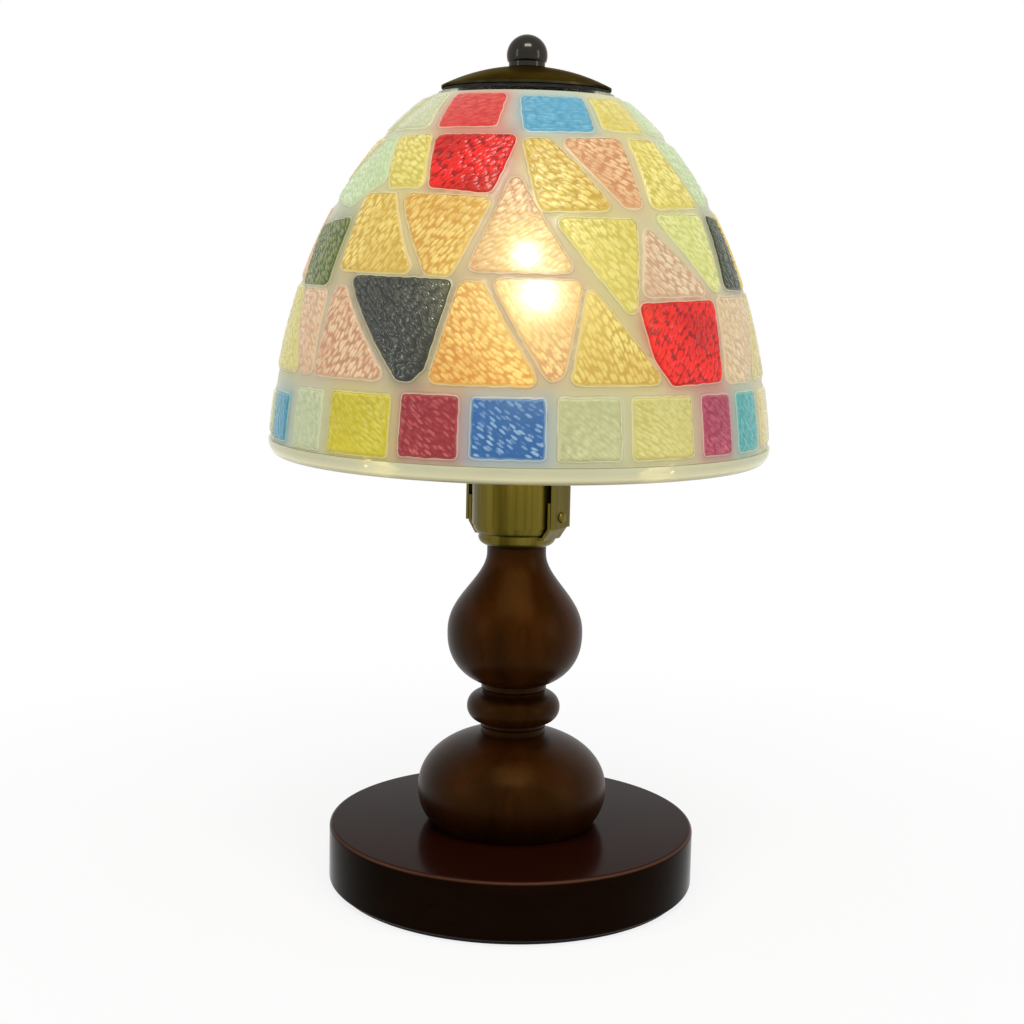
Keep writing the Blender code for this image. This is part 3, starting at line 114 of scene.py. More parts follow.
# Brass cup and lampholder
CUP_WALL = 0.001
CUP_DISH_RADIUS = 0.0156
CUP_DISH_HEIGHT = 0.0028
CUP_GROOVE_WIDTH = 0.0006
CUP_GROOVE_DEPTH = 0.0006
CUP_LIP_ROUND = 0.0004
SHELL_WALL = 0.0005
THREAD_PITCH = 0.003629
THREAD_DEPTH = 0.00042
THREAD_FADE = 0.0015
THREAD_ROWS = 60

# Bulb
BULB_WALL = 0.0008
BULB_NECK_RADIUS = 0.0122
BULB_NECK_RISE = 0.016
BULB_CHEEK_DROP = 0.022
BULB_NECK_SEAT = 0.006
BULB_CAP_FLANGE = 0.0045
CAPSULE_RADIUS = 0.0068
CAPSULE_LOW = 0.2285
CAPSULE_HIGH = 0.2605
CAPSULE_ASIDE = 0.003
WIRE_RADIUS = 0.0005
WIRE_SIDES = 12

# Shade
SHADE_RADIUS = 0.1
SHADE_HEIGHT = 0.1414
DOME_START_SHARE = 0.147
DOME_SWELL_SHARE = 1.0087
DOME_UP_FULLNESS = 2.16
DOME_OUT_FULLNESS = 1.87
GLASS_WALL = 0.0024
GLASS_LIP_RADIUS = 0.0345
GLASS_LIP_STEP = 0.00215
GLASS_LIP_THICKNESS = 0.003
GLASS_RIM_HEIGHT = 0.0062
GLASS_RIM_ROUND = 0.0043
GLASS_RIM_FOOT = 0.0026
GLASS_ROWS = 40
RIM_SHARES = (0.06, 0.34, 0.72)
SHADE_HOLE_RADIUS = 0.027
BED_THICKNESS = 0.0033

# Mosaic: outlines, edges and hammered waves of the glass
TILE_STEP = 0.0005
TILE_GROWTH = 0.0008
ROW_GROWTHS = {"skirt": -0.0006, "crown": 0}
TILE_CORNER_ROUND = 0.0024
CORNER_SHARE = 0.4
TILE_WAVER = 0.0003
TILE_WAVER_LENGTH = 0.003
TILE_EDGE_DEPTH = 0.0009
TILE_EDGE_WIDTH = 0.0011
TILE_EDGE_RINGS = (0.0003, 0.00065, 0.0011)
TILE_UNDERSIDE = 0.0031
UNDERSIDE_STEP = 0.005
UNDERSIDE_WAVE = 0.5
ROW_RISE_SHARE = 0.866
WAVE_LENGTH = 0.0042
WAVE_WIDTH = 0.00145
WAVE_HEIGHT = 0.00036
WAVE_BEND = 0.011
WAVE_DRIFT_SHARE = 0.6
WAVE_STRAY_SHARE = 0.55
WAVE_DULL_SHARE = 0.45
CREST_SHARES = (0.62, 0.4)
WAVE_SLANT = -36
WAVE_SLANTS = {
    "shoulder_red": 42, "waist_red": 60, "belly_amber": 52, "belly_rose": 34, "crown_pink": 8,
    "crown_sky": 4, "belly_yellow": 58, "waist_rose": 64, "waist_cream": -50, "belly_lemon": -58,
    "waist_yellow": -62, "shoulder_amber": -40, "skirt_blue": -30, "skirt_crimson": -40,
}
SOFT_RELIEF_SHARE = 0.45
SOFT_BRIGHTNESS = 0.2
SOFT_ROWS = ("skirt", "crown")
CRISP_TILES = ("skirt_crimson", "skirt_blue")
SCATTER = (12.9898, 78.233, 3.7, 43758.5453)
# Painted hot spots, where the bulb's light is painted as shining through most: turn and share of the way up,
# width of its core and of its halo
HOT_SPOTS = ((3.7, 0.4, 0.0078, 0.023), (0.7, 0.492, 0.0052, 0.017))
CORE_FULLNESS = 1.2

# Grout
GROUT_STEP = 0.0013
GROUT_EDGE_DEPTH = 0.00055
GROUT_MIDDLE_DEPTH = 0.00095
GROUT_EDGE_WIDTH = 0.0016
GROUT_LINE = 0.0004
RIDGE_WIDTH = 0.0011
# Painted coloured glow that the lit glass spills on the grout: how far it reaches, the window searched, its
# share and its most
TINT_REACH = 0.003
TINT_WINDOW = (12, 0.06)
TINT_SHARE = 0.75
TINT_MOST = 0.62

# Cap and finial
CAP_EDGE = 0.0009
CAP_WALL = 0.001
BALL_CUT = 0.0026
BALL_BORE_DEPTH = 0.007
BALL_GAP = 0.00002
COLLAR_SEAT = 0.0005

# Colours, from 0 to 255
WHITE = (255, 255, 255)
LACQUER_TINT = (255, 208, 128)
BRONZE_RIM_TINT = (182, 172, 134)
# Painted light on the base: its top face lighter as if lit from above, and a highlight line along its round top
# edge
BASE_LIT_TOP_COLOUR = (36, 10, 4)
EDGE_HIGHLIGHT_COLOUR = (98, 66, 52)
PAINTED_EDGE_WIDTH = 0.0012
RIM_COLOUR = (212, 208, 172)
RIM_CLOUD_COLOUR = (196, 200, 168)
# Painted highlight band along the rim's middle
RIM_HIGHLIGHT_COLOUR = (236, 231, 190)
RIM_FOOT_COLOUR = (128, 124, 98)
GROUT_COLOUR = (212, 211, 182)
GROUT_SHADE = (214, 209, 197)
# Painted highlight: the bright line where the grout meets the glass
GROUT_EDGE_HIGHLIGHT_COLOUR = (250, 242, 200)
# Painted light on the shade: the colours of the hot spot's halo and core, and the glow the glass is given in
# place of the bulb's light through it
HALO_COLOUR = (255, 242, 158)
CORE_COLOUR = (255, 254, 236)
CORE_GLOW = 1.0
GLASS_GLOW = 0.22
CAPSULE_GLOW = 14
# Deep and bright colour of each glass; the bright one is mostly painted light on its wave crests and edges
COLOURS = {
    "azure": ((50, 140, 165), (112, 184, 194)),
    "jade": ((186, 196, 158), (218, 222, 186)),
    "clear": ((196, 200, 162), (222, 224, 188)),
    "sand": ((192, 192, 142), (218, 218, 176)),
    "straw": ((204, 194, 112), (226, 220, 158)),
    "honey": ((202, 188, 132), (232, 224, 172)),
    "shell": ((204, 168, 134), (238, 218, 184)),
    "rose": ((200, 150, 116), (238, 214, 178)),
    "amber": ((214, 150, 70), (252, 226, 136)),
    "maize": ((212, 164, 76), (248, 228, 142)),
    "coral": ((204, 150, 112), (244, 218, 170)),
    "cream": ((206, 146, 106), (248, 220, 160)),
    "gold": ((206, 172, 78), (246, 230, 140)),
    "blush": ((206, 182, 142), (236, 218, 184)),
    "olive": ((70, 88, 28), (140, 150, 76)),
    "forest": ((36, 48, 24), (84, 96, 60)),
    "lemon": ((208, 192, 92), (242, 234, 150)),
    "lime": ((204, 206, 122), (234, 234, 170)),
    "mint": ((188, 204, 158), (218, 228, 190)),
    "peach": ((206, 152, 104), (244, 208, 160)),
    "yellow": ((200, 186, 44), (224, 214, 98)),
    "crimson": ((160, 52, 60), (206, 110, 106)),
    "blue": ((58, 112, 172), (172, 206, 228)),
    "magenta": ((164, 54, 84), (216, 122, 142)),
    "teal": ((62, 160, 160), (152, 212, 204)),
    "moss": ((16, 20, 11), (78, 84, 62)),
    "red": ((150, 8, 8), (244, 40, 28)),
    "pink": ((212, 62, 58), (232, 98, 86)),
    "sky": ((92, 166, 194), (140, 198, 214)),
}
# Glass that is not as the rest: where the bright colour of its waves starts and ends, or how shiny it is
GLASS_KINDS = {
    "red": {"cover": (0.02, 0.35)}, "moss": {"coat": 0.6}, "blue": {"cover": (0.45, 0.85)},
    "crimson": {"cover": (0.45, 0.85)},
}

# The mosaic of the front half, as on the frame: by turns the degrees from the front and the
# thousandths of the way up the dome; the skirt's tiles by their left, right, foot and top, the
# others by their corners after their colour
SEAM_SHARES = (
    -90, 0, -90, 177, -84, 180, -93, 425, -86, 655, -92, 830, -90, 840, -90, 1000,
)
SKIRT_SHARES = {
    "clear": (-88, -76, 10, 130), "azure": (-73.5, -62.5, 8, 132), "jade": (-59, -47.5, 4, 152),
    "yellow": (-45, -28, 4, 156), "crimson": (-26, -12.5, 10, 163), "blue": (-10.5, 5.5, 14, 160),
    "sand": (7.5, 21.5, 12, 163), "straw": (23.5, 39.5, 12, 163), "magenta": (42, 52.5, 12, 163),
    "teal": (55, 66, 12, 163), "honey": (68.5, 87.5, 12, 163),
}
TILE_SHARES = {
    "waist_straw": ("straw", -81, 190, -61, 190, -71.5, 395, -88.5, 400),
    "waist_shell": ("shell", -58.5, 190, -54, 190, -55, 390, -69, 390),
    "waist_rose": ("rose", -52, 190, -30.5, 190, -47.5, 400, -51, 400),
    "waist_green": ("moss", -27, 192, -24, 192, -21.5, 220, -17, 425, -46, 430),
    "waist_amber": ("amber", -19.5, 190, 3.5, 190, -9.5, 420, -14.5, 420),
    "waist_cream": ("cream", 6, 200, 8.5, 210, 13.5, 428, -7, 430),
    "waist_yellow": ("gold", 11, 194, 32, 194, 15.5, 420),
    "waist_red": ("red", 30.5, 250, 34.5, 190, 50, 195, 52, 385, 28, 375),
    "waist_blush": ("blush", 52.5, 190, 64, 190, 76, 390, 54.5, 390),
    "waist_honey": ("honey", 67, 190, 93, 190, 84.5, 400, 79, 400),
    "belly_shell": ("shell", -75, 415, -82, 570, -85.5, 625, -90, 445),
    "belly_moss": ("olive", -72, 410, -56, 410, -56, 580, -79, 560),
    "belly_yellow": ("gold", -51.5, 450, -28, 445, -40.5, 645, -53, 645),
    "belly_amber": ("maize", -23.5, 445, -18, 440, -9.5, 635, -36.5, 645),
    "belly_rose": ("coral", -13, 455, 12, 455, -1.5, 690, -4, 690),
    "belly_lemon": ("lemon", 26, 345, 31, 585, 8.5, 585),
    "belly_shell_right": ("shell", 29.5, 400, 51, 405, 34, 570),
    "belly_lime": ("lime", 54, 415, 57.5, 420, 59.5, 605, 38.5, 600),
    "belly_forest": ("forest", 60.5, 420, 75, 415, 75, 600, 65, 605),
    "belly_gold": ("gold", 78, 415, 84.5, 430, 91, 625, 78, 610),
    "shoulder_honey": ("honey", -86, 680, -67, 825, -89, 820),
    "shoulder_mint": ("mint", -82, 650, -60.5, 620, -48, 690, -57.5, 820, -62.5, 820),
    "shoulder_yellow": ("lemon", -44, 670, -31.5, 670, -37.5, 820, -54.5, 820),
    "shoulder_red": ("red", -28.5, 670, -10, 655, -3.5, 820, -34, 820),
    "shoulder_amber": ("gold", 4.5, 610, 24.5, 615, 16.5, 730, 8, 808, -0.5, 808),
    "shoulder_peach": ("peach", 29.5, 625, 34.5, 625, 36, 820, 13, 810),
    "shoulder_lemon": ("lemon", 39, 625, 61, 635, 55, 820, 41.5, 820),
    "shoulder_mint_right": ("mint", 65, 640, 91, 665, 84.5, 820, 59, 820),
    "crown_amber": ("sand", -87, 850, -71, 850, -64, 980, -87, 980),
    "crown_clear": ("clear", -67, 850, -41.5, 850, -47, 980, -59.5, 980),
    "crown_pink": ("pink", -37, 850, -11.5, 850, -10, 978, -40.5, 980),
    "crown_sky": ("sky", -0.5, 835, 27, 840, 30, 968, -3, 968),
    "crown_yellow": ("lemon", 31.5, 850, 53.5, 850, 58.5, 980, 34.5, 970),
    "crown_mint": ("mint", 58, 850, 86, 850, 86, 980, 63.5, 980),
}
# Colours that the loose tiles have at the back, where the mosaic repeats
BACK_COLOURS = {
    "skirt_yellow": "teal", "skirt_crimson": "blue", "skirt_blue": "crimson", "skirt_magenta": "yellow",
    "skirt_teal": "magenta", "waist_green": "sky", "waist_red": "moss", "shoulder_red": "blue",
    "crown_pink": "sky", "crown_sky": "pink",
}
ROWS = ("skirt", "waist", "belly", "shoulder", "crown")
HALF_TURN = 180
SIDE_TURNS = {"front": 0, "back": HALF_TURN}
TILE_VALUES = ("wave", "edge", "core", "halo")


def low(node):
    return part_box(node)[0].z


def high(node):
    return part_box(node)[1].z


def reach(node):
    """Radius of a turned node."""
    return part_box(node)[1].x


# Materials


def linear(colour):
    """A colour of 0 to 255 as the shader wants it."""
    return tuple(((c / 255 + 0.055) / 1.055) ** 2.4 if c > 10 else c / 255 / 12.92 for c in colour) + (1,)


def dimmed(colour, share):
    return tuple(int(c * share) for c in colour)


def node(tree, kind, inputs=None, **settings):
    """A shader node, its inputs set to values or linked to sockets."""
    made = tree.nodes.new(kind)
    for name, value in settings.items():
        setattr(made, name, value)
    for name, value in (inputs or {}).items():
        if isinstance(value, bpy.types.NodeSocket):
            tree.links.new(value, made.inputs[name])
        else:
            made.inputs[name].default_value = value
    return made


def feed(shader, **sockets):
    """Sets sockets of a shader to values, or links them to other sockets."""
    for name, value in sockets.items():
        socket = shader.inputs[name.replace("_", " ")]
        if isinstance(value, bpy.types.NodeSocket):
            shader.id_data.links.new(value, socket)
        else:
            socket.default_value = value


def plain(name, **sockets):
    """A Principled material with plain values; returns it with its tree and shader."""
    made = bpy.data.materials.new(name)
    made.use_nodes = True
    shader = made.node_tree.nodes["Principled BSDF"]
    feed(shader, **sockets)
    return made, made.node_tree, shader


def reckon(tree, operation, *values):
    return node(tree, "ShaderNodeMath", dict(enumerate(values)), operation=operation).outputs[0]


def attribute(tree, name, output="Fac"):
    return node(tree, "ShaderNodeAttribute", attribute_name=name).outputs[output]


def place(tree):
    """The object's own space."""
    return node(tree, "ShaderNodeTexCoord").outputs["Object"]


def texture(tree, scale, detail=3, stretch=(1, 1, 1), roughness=0.5, distortion=0):
    """Noise in the object's own space; scale counts lumps a metre."""
    mapped = node(tree, "ShaderNodeMapping", {"Vector": place(tree), "Scale": stretch})
    inputs = {"Vector": mapped.outputs[0], "Scale": scale, "Detail": detail, "Roughness": roughness}
    inputs["Distortion"] = distortion
    return node(tree, "ShaderNodeTexNoise", inputs).outputs["Fac"]


def between(tree, value, start, end, first=0, last=1):
    """A value's way from start to end, as a way from first to last."""
    made = node(
        tree, "ShaderNodeMapRange",
        {"Value": value, "From Min": start, "From Max": end, "To Min": first, "To Max": last},
    )
    return made.outputs["Result"]


def blend(tree, share, first, second, kind="MIX"):
    """A mix of two colours, each a value of 0 to 255 or a socket."""
    made = node(tree, "ShaderNodeMix", data_type="RGBA", blend_type=kind)
    for socket, value in ((made.inputs[0], share), (made.inputs[6], first), (made.inputs[7], second)):
        if isinstance(value, bpy.types.NodeSocket):
            tree.links.new(value, socket)
        elif isinstance(value, tuple):
            socket.default_value = linear(value)
        else:
            socket.default_value = value
    return made.outputs[2]


def relief(shader, height, distance, strength):
    """Bump from a height; distance is its full depth in metres."""
    inputs = {"Height": height, "Distance": distance, "Strength": strength}
    feed(shader, Normal=node(shader.id_data, "ShaderNodeBump", inputs).outputs[0])


def wood(name, dark, light, stretch, roughness, ior, edge=None):
    """Stained and lacquered wood, its grain drawn out along one way; given an edge, its top face is painted
    lighter as if lit from above, and its round top edge gets a painted highlight line.
    """
    made, tree, shader = plain(name, IOR=ior, Specular_Tint=linear(LACQUER_TINT))
    bands = texture(tree, 26, 4, stretch, 0.6, distortion=0.6)
    pores = texture(tree, 240, 2, stretch)
    clouds = texture(tree, 14, 2)
    colour = blend(tree, between(tree, bands, 0.32, 0.7), dark, light)
    colour = blend(tree, between(tree, clouds, 0.3, 0.75, 0, 0.45), colour, dark)
    colour = blend(tree, between(tree, pores, 0.58, 0.75, 0, 0.35), colour, dimmed(dark, 1 / 3))
    # Painted light: the top face is painted lighter as if lit from above, and the round top edge gets a pale
    # painted highlight line
    if edge:
        radius, height = edge
        axes = node(tree, "ShaderNodeSeparateXYZ", {0: place(tree)}).outputs
        flat = node(tree, "ShaderNodeCombineXYZ", {"X": axes["X"], "Y": axes["Y"]}).outputs[0]
        away = node(tree, "ShaderNodeVectorMath", {0: flat}, operation="LENGTH").outputs["Value"]
        outward = between(tree, away, radius - PAINTED_EDGE_WIDTH, radius - PAINTED_EDGE_WIDTH / 2)
        upward = between(tree, axes["Z"], height - PAINTED_EDGE_WIDTH, height - PAINTED_EDGE_WIDTH / 2, 0, 0.7)
        painted_highlight = reckon(tree, "MULTIPLY", outward, upward)
        painted_highlight = reckon(tree, "MULTIPLY", painted_highlight, between(tree, clouds, 0.3, 0.6, 0.6, 1))
        colour = blend(tree, painted_highlight, blend(tree, upward, colour, BASE_LIT_TOP_COLOUR), EDGE_HIGHLIGHT_COLOUR)
    gloss = between(tree, clouds, 0.3, 0.7, roughness * 0.9, roughness * 1.15)
    feed(shader, Base_Color=colour, Roughness=gloss)
    relief(shader, pores, 0.00005, 0.35)
    return made


def metal(name, dark, light, roughness, marks, scale=60, bump=0.00002, drawn=(1, 1, 1), lacquer=0, rim=WHITE):
    """Metal with a patina that clouds its colour and gloss, and fine turning or drawing marks."""
    made, tree, shader = plain(
        name, Metallic=1.0, Coat_Weight=lacquer, Coat_Roughness=0.1, Specular_Tint=linear(rim)
    )
    clouds = texture(tree, scale, 4, drawn, 0.6)
    colour = blend(tree, between(tree, clouds, 0.34, 0.66), dark, light)
    gloss = between(tree, clouds, 0.3, 0.7, roughness * 1.2, roughness * 0.85)
    feed(shader, Base_Color=colour, Roughness=gloss)
    relief(shader, texture(tree, 900, 2, marks), bump, 0.5)
    return made


def moulded(name, dark, light, roughness, scale, bump):
    """Plastic, rubber or felt, told apart by its roughness and its grain."""
    made, tree, shader = plain(name)
    grain = texture(tree, scale)
    colour = blend(tree, between(tree, grain, 0.35, 0.65), dark, light)
    feed(shader, Base_Color=colour, Roughness=between(tree, grain, 0.3, 0.7, roughness * 0.9, roughness))
    relief(shader, grain, bump, 0.6)
    return made


def hammered(name, deep, bright, cover=(0.1, 0.7), coat=0.03):
    """Cast glass: deep between its waves, with painted light: bright on them, paler at its edge, white where
    the bulb shines through, and an even glow.
    """
    made, tree, shader = plain(
        name, Transmission_Weight=0.42, IOR=1.45, Specular_IOR_Level=0.2, Coat_Weight=coat,
        Coat_Roughness=0.08,
    )
    waves, edge, core, halo = (attribute(tree, value) for value in TILE_VALUES)
    specks = texture(tree, 620, 2)
    clouds = texture(tree, 50, 2)
    height = reckon(tree, "ADD", waves, between(tree, specks, 0.3, 0.7, -0.16, 0.16))
    tone = blend(tree, between(tree, clouds, 0.35, 0.68, 0, 0.35), deep, dimmed(deep, 0.84))
    pale = blend(tree, between(tree, clouds, 0.4, 0.62, 0.45, 0), bright, deep)
    # Painted glints: the bright colour on the wave crests stands for the light they let through
    colour = blend(tree, between(tree, height, *cover), tone, pale)
    # Painted hot spot: a pale halo and a white core where the bulb would shine through
    colour = blend(tree, between(tree, halo, 0, 1, 0, 0.8), colour, HALO_COLOUR)
    # Painted highlight: paler along the tile's edge, where light leaks out
    colour = blend(tree, between(tree, edge, 0.3, 0.9, 0, 0.7), colour, bright)
    core = reckon(tree, "MULTIPLY", core, between(tree, height, 0, 0.6, 0.75, 1))
    colour = blend(tree, core, colour, CORE_COLOUR)
    # Painted glow: emission standing in for the bulb's light through the glass, strongest in the hot spot's
    # core
    glow = between(tree, core, 0, 1, GLASS_GLOW, CORE_GLOW)
    gloss = between(tree, specks, 0.3, 0.7, 0.14, 0.24)
    feed(shader, Base_Color=colour, Emission_Color=colour, Emission_Strength=glow, Roughness=gloss)
    relief(shader, specks, 0.0001, 0.4)
    return made


def grout():
    """Milky cement between the tiles, drawn along them in ridges, with painted light: the coloured glow of the
    lit glass beside it, shade in its ridges, a bright line at the glass and an even glow.
    """
    made, tree, shader = plain(
        "grout", Transmission_Weight=0.1, IOR=1.4, Emission_Strength=0.12, Coat_Weight=0.15,
        Coat_Roughness=0.2,
    )
    near = attribute(tree, "near")
    clouds = texture(tree, 130)
    ways = between(tree, near, 0, RIDGE_WIDTH, 0, 2 * math.pi)
    ridges = reckon(tree, "SINE", reckon(tree, "ADD", ways, between(tree, clouds, 0, 1, -2.5, 2.5)))
    # The grout's colour with the painted coloured glow spilled from the lit glass beside it
    colour = attribute(tree, "tint", "Color")
    # Painted shade: the colour darkens in the troughs of the ridges
    colour = blend(tree, between(tree, ridges, -1, 1, 0.5, 0), colour, GROUT_SHADE, "MULTIPLY")
    colour = blend(tree, between(tree, clouds, 0.4, 0.7, 0, 0.4), colour, GROUT_SHADE, "MULTIPLY")
    # Painted highlight: a bright line where the grout meets the glass
    colour = blend(tree, between(tree, near, 0, GROUT_LINE, 0.5, 0), colour, GROUT_EDGE_HIGHLIGHT_COLOUR)
    gloss = between(tree, clouds, 0.3, 0.7, 0.3, 0.45)
    feed(shader, Base_Color=colour, Emission_Color=colour, Roughness=gloss)
    grains = between(tree, texture(tree, 900, 2), 0, 1, 0, 0.5)
    relief(shader, reckon(tree, "ADD", between(tree, ridges, -1, 1), grains), 0.00014, 0.7)
    return made


def glass(name, colour, roughness, clear, glow, ior):
    """Smooth glass with faint streaks."""
    made, tree, shader = plain(name, Transmission_Weight=clear, IOR=ior, Emission_Strength=glow)
    streaks = texture(tree, 40, 2, (1, 1, 0.4))
    tone = blend(tree, between(tree, streaks, 0.3, 0.7), colour, dimmed(colour, 0.95))
    gloss = between(tree, streaks, 0.3, 0.7, roughness * 0.85, roughness)
    feed(shader, Base_Color=tone, Emission_Color=tone, Roughness=gloss)
    relief(shader, streaks, 0.00005, 0.3)
    return made


def rim_glass():
    """Milky glass of the thick rim: a painted highlight band along its middle, greyer towards its foot, and a
    faint painted glow.
    """
    made, tree, shader = plain(
        "milky_rim", Transmission_Weight=0.25, IOR=1.4, Roughness=0.25, Emission_Strength=0.16
    )
    height = node(tree, "ShaderNodeSeparateXYZ", {0: place(tree)}).outputs["Z"]
    clouds = texture(tree, 60)
    foot, middle, top = (RIM_BOTTOM + share * GLASS_RIM_HEIGHT for share in RIM_SHARES)
    colour = blend(tree, between(tree, clouds, 0.35, 0.7, 0, 0.6), RIM_COLOUR, RIM_CLOUD_COLOUR)
    # Painted highlight: a bright band along the rim's middle
    colour = blend(tree, between(tree, height, middle, top, 1, 0), colour, RIM_HIGHLIGHT_COLOUR)
    colour = blend(tree, between(tree, height, foot, middle, 0.85, 0), colour, RIM_FOOT_COLOUR)
    feed(shader, Base_Color=colour, Emission_Color=colour)
    relief(shader, clouds, 0.0002, 0.4)
    return made


def glowing(name, colour):
    """The bulb's lit capsule."""
    made, tree, shader = plain(name, Emission_Strength=CAPSULE_GLOW, Roughness=0.5)
    tone = blend(tree, texture(tree, 120, 1), colour, dimmed(colour, 0.94))
    feed(shader, Base_Color=tone, Emission_Color=tone)
    return made


# Dome: the outer curve of the shade, and a band along it that carries the mosaic

RIM_BOTTOM = low("shade_glass")
LEDGE = RIM_BOTTOM + GLASS_RIM_HEIGHT
LIP_TOP = RIM_BOTTOM + SHADE_HEIGHT
DOME_TOP_SHARE = (GLASS_LIP_RADIUS + GLASS_LIP_STEP) / (SHADE_RADIUS * DOME_SWELL_SHARE)
DOME_REACH_SHARE = (1 - DOME_TOP_SHARE**DOME_OUT_FULLNESS) ** (1 / DOME_UP_FULLNESS)
DOME_SPAN_SHARE = (1 + DOME_START_SHARE) / DOME_REACH_SHARE


def dome_radius(height):
    """Radius of the shade's outer curve at a height, or at many."""
    share = ((height - RIM_BOTTOM) / SHADE_HEIGHT + DOME_START_SHARE) / DOME_SPAN_SHARE
    return SHADE_RADIUS * DOME_SWELL_SHARE * (1 - share**DOME_UP_FULLNESS) ** (1 / DOME_OUT_FULLNESS)


BAND_HEIGHTS = np.linspace(LEDGE + CLEARANCE, LIP_TOP - 2 * CLEARANCE, BAND_STEPS + 1)
BAND_RADII = dome_radius(BAND_HEIGHTS)
BAND_LENGTHS = np.concatenate(([0], np.cumsum(np.hypot(np.diff(BAND_HEIGHTS), np.diff(BAND_RADII)))))
BAND_LENGTH = BAND_LENGTHS[-1]
BAND_SLOPES = np.gradient(BAND_RADII, BAND_HEIGHTS)
BAND_STEEPS = np.hypot(1, BAND_SLOPES)


def dome_profile(share, depth):
    """Radius and height at a share of the band's length, so deep under its surface; or of many."""
    length = np.asarray(share) * BAND_LENGTH
    radius = np.interp(length, BAND_LENGTHS, BAND_RADII)
    height = np.interp(length, BAND_LENGTHS, BAND_HEIGHTS)
    radius = radius - depth * np.interp(length, BAND_LENGTHS, 1 / BAND_STEEPS)
    return radius, height + depth * np.interp(length, BAND_LENGTHS, BAND_SLOPES / BAND_STEEPS)


def dome_points(turn, share, depth):
    """Points of the dome, their turns in degrees from the front."""
    radius, height = dome_profile(share, depth)
    angle = np.radians(turn)
    points = np.stack((radius * np.sin(angle), -radius * np.cos(angle), height), axis=1)
    return [tuple(point) for point in points]


# Shapes


def arc(centre, radius, start, end, steps):
    """Points of an arc, or of a quarter ellipse where the radius is a pair; angles in degrees."""
    across, up = radius if isinstance(radius, tuple) else (radius, radius)
    angles = [math.radians(start + (end - start) * step / steps) for step in range(steps + 1)]
    return [(centre[0] + across * math.cos(angle), centre[1] + up * math.sin(angle)) for angle in angles]


def bezier(points, steps):
    """Points of a cubic curve from its four control points."""
    curve = []
    for step in range(steps + 1):
        t = step / steps
        weights = ((1 - t) ** 3, 3 * t * (1 - t) ** 2, 3 * t * t * (1 - t), t**3)
        curve.append(tuple(sum(w * p[axis] for w, p in zip(weights, points)) for axis in (0, 1)))
    return curve


def beside(path, distance, closed=False):
    """The path moved sideways to its left, with mitred corners."""
    count = len(path)
    moved = []
    for index, point in enumerate(path):
        sides = []
        if closed or index > 0:
            sides.append((Vector(point) - Vector(path[index - 1])).normalized())
        if closed or index < count - 1:
            sides.append((Vector(path[(index + 1) % count]) - Vector(point)).normalized())
        normals = [Vector((-side.y, side.x)) for side in sides]
        mitre = (normals[0] + normals[-1]).normalized()
        moved.append(tuple(Vector(point) + mitre * distance / mitre.dot(normals[0])))
    return moved


def swell(rise, half_height, fullness):
    """Share of the radius that a belly has so far above or below its widest place."""
    share = min(abs(rise) / half_height, 1)
    return (1 - share**fullness) ** (1 / fullness)


def smooth(value):
    """A way from 0 to 1 that starts and ends level."""
    share = np.clip(value, 0, 1)
    return share * share * (3 - 2 * share)


def turned_mesh(name, outline, sides=SIDES, groove=None):
    """Mesh of an outline of radii and heights, drawn down its outer side and turned about the Z axis."""
    vertices = []
    rings = []
    for radius, height in outline:
        if radius == 0:
            rings.append([len(vertices)] * sides)
            vertices.append((0, 0, height))
            continue
        rings.append(range(len(vertices), len(vertices) + sides))
        for side in range(sides):
            angle = 2 * math.pi * side / sides
            across = radius - (groove(height, angle) if groove else 0)
            vertices.append((across * math.cos(angle), across * math.sin(angle), height))
    pairs = list(zip(rings, rings[1:]))
    if outline[0][0] > 0:
        pairs.append((rings[-1], rings[0]))
    faces = []
    for upper, under in pairs:
        for side in range(sides):
            after = (side + 1) % sides
            faces.append(list(dict.fromkeys((upper[side], under[side], under[after], upper[after]))))
    mesh = bpy.data.meshes.new(name)
    mesh.from_pydata(vertices, [], faces)
    mesh.shade_smooth()
    mesh.set_sharp_from_angle(angle=SHARP_ANGLE)
    return mesh


def add_object(name, data):
    made = bpy.data.objects.new(name, data)
    bpy.context.scene.collection.objects.link(made)
    return made


def piece(name, mesh, materials, body, slot, *nodes):
    """Adds a piece that rides on a body, in place of the frame's plainer nodes."""
    for material in materials:
        mesh.materials.append(material)
    made = add_object(name, mesh)
    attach(made, body)
    if nodes:
        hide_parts(*nodes)
    return made


def turned(node_name, outline, finish, body="stand", sides=SIDES, groove=None, slot=None):
    """A finely turned piece in place of a node."""
    mesh = turned_mesh(node_name + "_turned", outline, sides, groove)
    return piece(node_name + "_turned", mesh, [FINISHES[finish]], body, slot or finish, node_name)


# Stand


